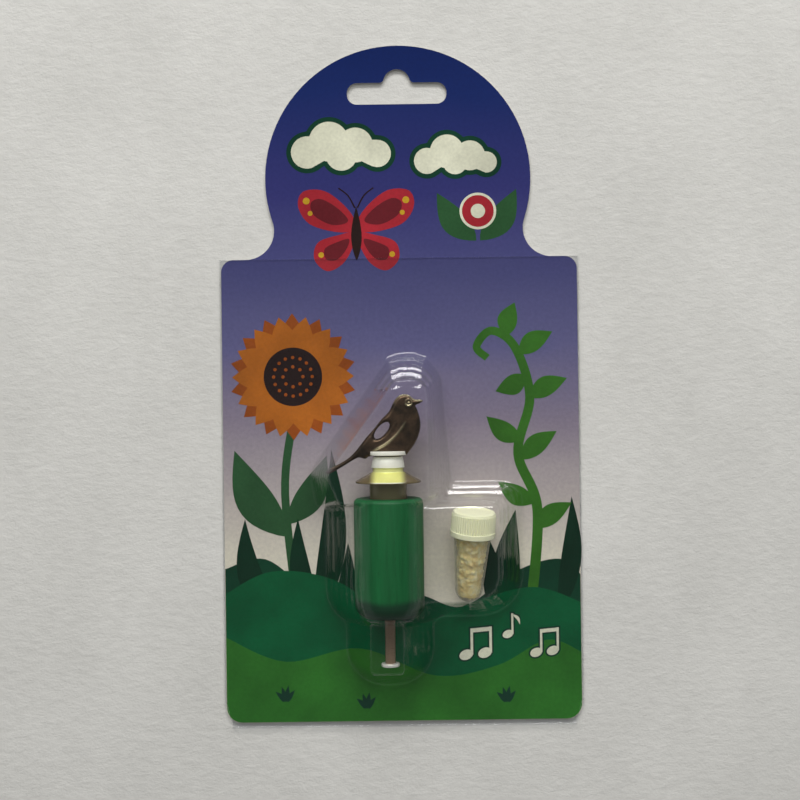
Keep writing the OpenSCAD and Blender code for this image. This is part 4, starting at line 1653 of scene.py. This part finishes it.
@dataclass
class Bird:
    """Cast bird: a pierced figure with a rounded edge, a raised wing and feather lines, on a foot ring."""

    thick: float = 4.8
    tail_thick: float = 1.5
    trim: float = 0.25
    voxel: float = 0.22
    round_off: float = 1.1
    rim_share: float = 0.3
    # Painted highlight: how full and how wide the bright line is along the crown's edges that face up the
    # card.
    crown_highlight_full: float = 1.3
    crown_highlight_w: float = 0.4
    face_share: float = 0.6
    side_wear: float = 0.15
    seat: float = 12.95
    boss_r: float = 4.3
    boss_h: float = 0.5
    ring_r: float = 5.75
    ring_h: float = 1.2
    ring_bore_r: float = 1.22
    ring_round: float = 0.16
    wing_centre: Point = (0.285, 0.992)
    wing_r: float = 18.25
    wing_span: Point = (-72.0, -26.0)
    wing_fade: float = 8.0
    ridge_w: float = 0.32
    ridge_h: float = 0.3
    # The wing's ridge takes the bright colour partly as wear and partly as painted highlight, brighter
    # towards one end of its arc.
    ridge_wear_and_highlight: Point = (0.3, 0.6)
    bright_span: Point = (-58.0, -38.0)
    feathers_from: float = 10.0
    feathers_gap: float = 0.9
    feathers_h: float = 0.09
    feathers_rate: float = 4.2
    gap_at: Point = (0.573, 0.541)
    gap_len: float = 6.6
    gap_w: float = 2.9
    gap_turn: float = 48.0
    gap_steps: int = 40
    eye_at: Point = (0.849, 0.891)
    eye_relief: tuple[Triple, ...] = ((0.28, 0.95, 0.22), (0.2, 0.0, 0.4), (-0.22, 0.62, 0.2))
    # Painted highlight on the rim round the eye, strong below its middle and faint elsewhere, and how bright
    # the eye's middle is made.
    lid: Point = (0.95, 0.2)
    lid_wear_and_highlight: Point = (0.95, 0.2)
    lid_low: float = 0.3
    pupil_w: float = 0.3
    pupil_bright: float = 0.9
    brow_at: Point = (0.68, 0.88)
    body_at: Point = (0.72, 0.55)
    shares: tuple[Point, ...] = (
        (-0.004, 0.024), (0.05, 0.068), (0.14, 0.122), (0.235, 0.195), (0.305, 0.28), (0.365, 0.375),
        (0.42, 0.46), (0.495, 0.565), (0.57, 0.68), (0.645, 0.775), (0.68, 0.86), (0.71, 0.93),
        (0.755, 0.985), (0.81, 1), (0.86, 0.985), (0.9, 0.94), (0.955, 0.93), (1, 0.915),
        (0.96, 0.88), (0.915, 0.855), (0.93, 0.82), (0.955, 0.725), (0.968, 0.62), (0.955, 0.51),
        (0.91, 0.375), (0.85, 0.275), (0.8, 0.22), (0.6, 0.215), (0.456, 0.215), (0.4, 0.18),
        (0.345, 0.2), (0.305, 0.185), (0.245, 0.142), (0.135, 0.06), (0.03, -0.006),
    )

    def at(self, share: Point) -> Vector:
        """Turns a share of the bird's size into a flat place in the pack."""
        return Vector(LAYOUT.bird(share))

    def opening(self) -> Outline:
        """Draws the oval opening between wing and back."""
        return oval(LAYOUT.bird(self.gap_at), self.gap_len / 2, self.gap_w / 2, self.gap_turn, self.gap_steps)

    def figure(self) -> Mesh:
        """Makes the flat figure with its opening, as an even mesh."""
        outline = curve_through([tuple(self.at(s)) for s in self.shares], 4, True)
        half = self.thick / 2
        plate = slab([outline], LAYOUT.call_z - half, LAYOUT.call_z + half)
        cutter = slab([self.opening()], LAYOUT.call_z - self.thick, LAYOUT.call_z + self.thick)
        pair = (("plate", plate), ("cutter", cutter))
        objects = [add_object(name, finished(bm, name)) for name, bm in pair]
        cut = objects[0].modifiers.new("cut", "BOOLEAN")
        cut.operation, cut.object, cut.solver = "DIFFERENCE", objects[1], "EXACT"
        bm = start()
        bm.from_object(objects[0], bpy.context.evaluated_depsgraph_get())
        for obj in objects:
            bpy.data.objects.remove(obj)
        return remeshed(bm, self.voxel)

    def relief(self, place: Vector, edge: float, lit: float) -> tuple[float, float]:
        """Says how thick the casting is at a place, and how much of the bright colour it takes, for wear and
        for painted highlight.

        Args:
            place: The flat place.
            edge: Its distance from the nearest outline.
            lit: How far that outline takes the painted highlight.

        Returns:
            Half the thickness there, and the share of the bright colour from 0 to 1, for wear and for painted
            highlight.
        """
        body = self.at(self.body_at)
        away = min((place - body).length / (self.at((0, 0)) - body).length, 1.0)
        half = (self.thick + (self.tail_thick - self.thick) * away ** 2) / 2 - self.trim
        rise = min(edge / self.round_off, 1.0)
        half *= self.rim_share + (1 - self.rim_share) * math.sqrt(max(1 - (1 - rise) ** 2, 0))
        # Painted highlight: a bright line along the crown's edges that face up the card towards the lamp.
        wear_and_highlight = min(max(0.0, self.crown_highlight_full - edge / self.crown_highlight_w), 1.0) * lit
        turn = place - self.at(self.wing_centre)
        angle, far = math.degrees(math.atan2(turn.y, turn.x)), turn.length
        first, last = self.wing_span
        if first < angle < last:
            fade = min((angle - first) / self.wing_fade, (last - angle) / self.wing_fade, 1.0)
            # The ridge's bright colour is partly wear and partly painted highlight, brighter towards one end
            # of the arc.
            ridge = hump(far, self.wing_r, self.ridge_w) * fade
            half += self.ridge_h * ridge
            bright, dim = self.bright_span
            shine = min(max((dim - angle) / (dim - bright), 0.0), 1.0)
            wear_and_highlight = max(wear_and_highlight, ridge * (self.ridge_wear_and_highlight[0] + self.ridge_wear_and_highlight[1] * shine))
            if self.feathers_from < far < self.wing_r - self.feathers_gap:
                half -= self.feathers_h * fade * (1 + math.cos((far - self.wing_r) * self.feathers_rate)) / 2
        eye = (place - self.at(self.eye_at)).length
        half += sum(height * hump(eye, at, width) for height, at, width in self.eye_relief)
        # Painted highlight: the rim round the eye is bright below its middle and faint elsewhere; the eye's
        # middle is made bright.
        lid_wear_and_highlight = self.lid_wear_and_highlight[0] if place.y < self.at(self.eye_at).y - self.lid_low else self.lid_wear_and_highlight[1]
        wear_and_highlight = max(wear_and_highlight, lid_wear_and_highlight * hump(eye, *self.lid), self.pupil_bright * hump(eye, 0, self.pupil_w))
        return half, wear_and_highlight

    def build(self) -> None:
        """Models the bird in relief and adds its foot ring."""
        bm = self.figure()
        smooth(bm, 2)
        edges = curve_through([tuple(self.at(s)) for s in self.shares], 24, True)
        edges += curve_through(self.opening(), 6, True)
        tree = KDTree(len(edges))
        for k, (x, y) in enumerate(edges):
            tree.insert((x, y, 0), k)
        tree.balance()
        layer = bm.verts.layers.float.new("wear_and_highlight")
        limit = self.thick / 2
        for v in bm.verts:
            flat = Vector((v.co.x, v.co.y))
            share = (v.co.z - LAYOUT.call_z) / limit
            nearest, _, edge = tree.find((flat.x, flat.y, 0))
            # Painted highlight: on the crown, stretches of outline that face up the card towards the lamp get
            # a bright edge.
            crown = nearest.y > self.at(self.brow_at).y and nearest.x > self.at(self.brow_at).x
            upwards = (nearest.y - flat.y) / max(edge, WELD)
            half, wear_and_highlight = self.relief(flat, edge, max(upwards, 0.0) if crown else 0.0)
            v.co.z = LAYOUT.call_z + share * min(half, limit)
            v[layer] = min(wear_and_highlight, 1.0) if abs(share) > self.face_share else self.side_wear
        smooth(bm, 2, 0.4)
        bronze = AgedBronze().make()
        Piece("cast_bird", Body.PLUG, "antique_bronze", ("bird_finial",), 60.0).put(bm, bronze)
        top = self.seat + self.boss_h
        bore, end = self.ring_bore_r, top + self.ring_h
        bm = turned([(bore, self.seat), (self.boss_r, self.seat), (self.boss_r, top), (self.ring_r, top),
                     (self.ring_r, end), (bore, end)], 96, True)
        soften(bm, self.ring_round)
        bm.transform(LAYOUT.call())
        y = LAYOUT.mouth_y
        # Painted highlight: the ring above its boss is painted near white for the highlight it shows; the
        # boss below stays dark.
        colour_and_light_bands = ((0, tone(70, 60, 40)), (y + top - 0.01, tone(255, 253, 240)))
        rim = TurnedMetal("ring_metal", colour_and_light_bands, tone(240, 236, 208), 0.06, 0.25, satin=0.2)
        Piece("bird_foot_ring", Body.PLUG, "antique_bronze").put(bm, rim.make())


# Vial


@dataclass
class Vial:
    """Small round-bottomed vial with its thread, the rosin in it and the ribbed screw cap."""

    length: float = 29.6
    radius: float = 5.8
    tip_r: float = 4.4
    wall: float = 0.4
    neck_r: float = 5.35
    shoulder: float = 21.2
    cap_from: float = 21.5
    cap_r: float = 7.1
    cap_rim: float = 1.6
    cap_crown: float = 0.9
    cap_top: float = 1.4
    dish_r: float = 5.0
    dish_h: float = 0.3
    bore_r: float = 5.45
    ribs: int = 54
    rib_depth: float = 0.24
    seal_t: float = 0.9
    gap: float = 0.05
    thread_rise: float = 0.08
    thread_root: float = 0.05
    thread_from: float = 0.9
    thread_pitch: float = 2.0
    thread_turns: int = 2
    thread_steps: int = 60
    rosin_h: float = 23.5
    core_r: Point = (3.5, 4.7)
    core_short: float = 3.2
    core_up: float = 0.4
    lump_count: int = 150
    lump_ends: Point = (1.6, 1.4)
    lump_sizes: Point = (0.7, 1.5)
    room: float = 4.1
    room_slope: float = 0.083
    tip_room: float = 4.0
    melt: float = 0.22
    seed: int = 5

    def body(self) -> Mesh:
        """Turns the vial's wall."""
        top = self.length - self.cap_top - 2 * self.gap - self.seal_t
        outer = arc(0, self.tip_r, self.tip_r, -90, 0, 16)
        inner = arc(0, self.tip_r, self.tip_r - self.wall, 0, -90, 16)
        neck, bore = self.neck_r, self.neck_r - self.wall
        profile = [*outer, (self.radius, self.shoulder), (neck, self.shoulder + 0.1), (neck, top),
                   (bore, top), (bore, self.shoulder), (self.radius - self.wall, self.shoulder - self.wall),
                   *inner]
        bm = turned(profile, 96)
        soften(bm, 0.12, 40.0)
        return bm

    def thread(self) -> Mesh:
        """Winds the raised thread on the vial's neck."""
        bm = start()
        low = self.cap_from + self.thread_from
        root, crest = self.neck_r - self.thread_root, self.neck_r + self.thread_rise
        corners = [(root, 0), (crest, 0.3), (crest, 0.6), (root, 0.9)]
        face = bm.faces.new([bm.verts.new((r, 0, low + z)) for r, z in corners])
        rise = self.thread_pitch / self.thread_steps
        bmesh.ops.spin(bm, geom=[face], cent=(0, 0, 0), axis=(0, 0, 1), dvec=(0, 0, rise),
                       angle=FULL_TURN * self.thread_turns, steps=self.thread_steps * self.thread_turns,
                       use_merge=False, use_duplicate=False)
        bmesh.ops.recalc_face_normals(bm, faces=bm.faces)
        return bm

    def rosin(self) -> Mesh:
        """Fills the vial with broken lumps melted together."""
        draw = random.Random(self.seed)
        bm = start()
        core = bmesh.ops.create_cone(bm, cap_ends=True, segments=32, radius1=self.core_r[0],
                                     radius2=self.core_r[1], depth=self.rosin_h - self.core_short)["verts"]
        bmesh.ops.translate(bm, verts=core, vec=(0, 0, self.rosin_h / 2 + self.core_up))
        low, high = self.lump_ends
        for _ in range(self.lump_count):
            z = draw.uniform(low, self.rosin_h - high)
            size = draw.uniform(*self.lump_sizes)
            if z > self.tip_r:
                room = self.room + (z - self.tip_r) * self.room_slope
            else:
                room = self.tip_room * math.sqrt(max(1 - ((self.tip_r - z) / self.tip_room) ** 2, 0.05))
            out = max(room - size, 0.2)
            a, b, c = (draw.uniform(0, FULL_TURN) for _ in range(3))
            lump = bmesh.ops.create_icosphere(bm, subdivisions=1, radius=size)["verts"]
            turn = Matrix.Rotation(b, 4, "X") @ Matrix.Rotation(c, 4, "Y")
            place = Matrix.Translation((out * math.cos(a), out * math.sin(a), z)) @ turn
            bmesh.ops.transform(bm, matrix=place, verts=lump)
        bm = remeshed(bm, self.melt)
        smooth(bm, 2)
        return bm

    def cap(self) -> Mesh:
        """Turns the cap and presses the ribs into its side."""
        rim, crown, end = self.cap_from + self.cap_rim, self.length - self.cap_crown, self.length
        r, inset, steps = self.cap_r, self.rib_depth, self.ribs * 4
        inside, dish = end - self.cap_top, end - self.dish_h
        low = self.cap_from
        bm = turned([(0, inside), (self.bore_r, inside), (self.bore_r, low), (r - 0.15, low),
                     (r, low + 0.15), (r, rim), (r - inset / 2, rim + 0.1),
                     (r - inset / 2, crown - 0.1), (r - inset - 0.1, crown),
                     (r - self.cap_crown * 0.6, end - 0.32), (r - self.cap_crown - 0.5, end - 0.06),
                     (self.dish_r + 0.3, end - 0.03), (self.dish_r, dish), (0, dish)], steps)
        grooved = []
        for v in bm.verts:
            if rim + 0.05 < v.co.z < crown - 0.05 and math.hypot(v.co.x, v.co.y) > self.bore_r + 0.3:
                turn = round(math.atan2(v.co.y, v.co.x) / FULL_TURN * steps) % 4
                if turn in (2, 3):
                    grooved.append(v)
        share = (r - inset * 1.5) / (r - inset / 2)
        bmesh.ops.scale(bm, vec=(share, share, 1), verts=grooved)
        bmesh.ops.recalc_face_normals(bm, faces=bm.faces)
        return bm

    def build(self) -> None:
        """Makes the vial, its thread, the rosin, the sealing disc and the cap."""
        plastic = VialPlastic().make()
        place = LAYOUT.vial()
        rosin = Piece("rosin_lumps", Body.BLISTER, "rosin", ("rosin_charge",), 70.0)
        cap = Piece("screw_cap", Body.CAP, "cap_plastic", ("vial_cap",), 28.0)
        parts = (
            (Piece("vial_wall", Body.BLISTER, "vial_plastic", ("vial_body",)), self.body(), plastic),
            (Piece("vial_thread", Body.BLISTER, "vial_plastic"), self.thread(), plastic),
            (rosin, self.rosin(), Resin().make()),
            (cap, self.cap(), MilkyPlastic("cap_plastic", tone(248, 248, 206)).make()),
        )
        for piece, bm, material in parts:
            bm.transform(place)
            piece.put(bm, material)
        dress("cap_seal", MilkyPlastic("seal_foam", tone(216, 214, 200), 0.6, 0.1).make())


# Studio


@dataclass
class Studio:
    """Paper floor, soft daylight from the pack's head, and the camera straight above."""

    eye: Triple = (-0.2, -4.4, 381.1)
    view_deg: float = 37.37
    roll_deg: float = -0.75
    floor_half: float = 1400.0
    wall_level: float = 0.25
    ceiling_level: float = 0.1
    wall_top: Point = (0.26, 0.52)
    window_power: float = 17.5
    window_at: Triple = (-0.06, 1.2, 0.88)
    window_size: Point = (1.5, 0.32)
    pane_power: float = 17.0
    fill_power: float = 10.0
    fill_at: Triple = (0.0, 0.5, 1.25)
    fill_size: Point = (1.8, 1.5)

    def floor(self) -> None:
        """Lays the paper floor."""
        bm = start()
        bmesh.ops.create_grid(bm, x_segments=8, y_segments=8, size=self.floor_half * MM)
        mesh = finished(bm, "paper_floor")
        mesh.materials.append(Paper().make())
        floor = add_object("paper_floor", mesh)
        floor.location.z = -0.02 * MM

    def lamp(self, name: str, at: Triple, size: Point, power: float,
             colour: Triple = (1, 1, 1)) -> bpy.types.Object:
        """Hangs a soft lamp that looks at the pack.

        Args:
            name: Its name.
            at: Its place, in metres.
            size: Its width and height, in metres.
            power: Its power.
            colour: Its colour.

        Returns:
            The lamp.
        """
        light = bpy.data.lights.new(name, "AREA")
        light.shape = "RECTANGLE"
        light.size, light.size_y = size
        light.energy = power
        light.color = colour
        lamp = add_object(name, light)
        lamp.location = at
        lamp.rotation_euler = (-Vector(at)).to_track_quat("-Z", "Y").to_euler()
        return lamp

    def room(self) -> bpy.types.World:
        """Makes the room: pale walls up to the windows' height, a dim ceiling, and a pale backdrop.

        Returns:
            The world.
        """
        world = bpy.data.worlds.new("studio")
        n = Nodes(world)
        height = n.add("SeparateXYZ", {0: n.add("TexCoord").outputs["Generated"]}).outputs["Z"]
        level = n.eased(height, *self.wall_top, self.wall_level, self.ceiling_level)
        walls = n.tree.nodes["Background"]
        n.fill(walls, {"Color": tone(246, 247, 250), "Strength": level})
        seen = n.add("Background", {"Color": tone(226, 226, 222)})
        rays = n.add("LightPath").outputs
        either = n.math("MAXIMUM", rays["Is Camera Ray"], rays["Is Transmission Ray"])
        mix = n.add("MixShader", {0: either, 1: walls.outputs[0], 2: seen.outputs[0]})
        n.tree.links.new(mix.outputs[0], n.tree.nodes["World Output"].inputs["Surface"])
        return world

    def build(self) -> None:
        """Sets the floor, the light and the camera."""
        self.floor()
        scene = bpy.context.scene
        scene.world = self.room()
        self.lamp("window", self.window_at, self.window_size, self.window_power, (1, 0.99, 0.97))
        fill = self.lamp("fill", self.fill_at, self.fill_size, self.fill_power)
        fill.visible_glossy = False
        pane = self.lamp("pane", self.window_at, self.window_size, self.pane_power)
        pane.visible_diffuse = False
        eye = bpy.data.cameras.new("camera")
        eye.sensor_fit = "HORIZONTAL"
        eye.angle = math.radians(self.view_deg)
        eye.clip_start = 0.01
        camera = add_object("camera", eye)
        camera.location = [c * MM for c in self.eye]
        camera.rotation_euler = (0, 0, math.radians(self.roll_deg))
        scene.camera = camera
        scene.view_settings.view_transform = "Standard"


def main() -> None:
    """Builds the pack in order, from the studio to the smallest piece."""
    logging.basicConfig(level=logging.INFO, format="%(name)s: %(message)s")
    for part in (Studio(), CardPrint(), Blister(), Barrel(), Plug(), Bird(), Vial()):
        LOG.info("building %s", type(part).__name__)
        part.build()


if __name__ == "__main__":
    main()
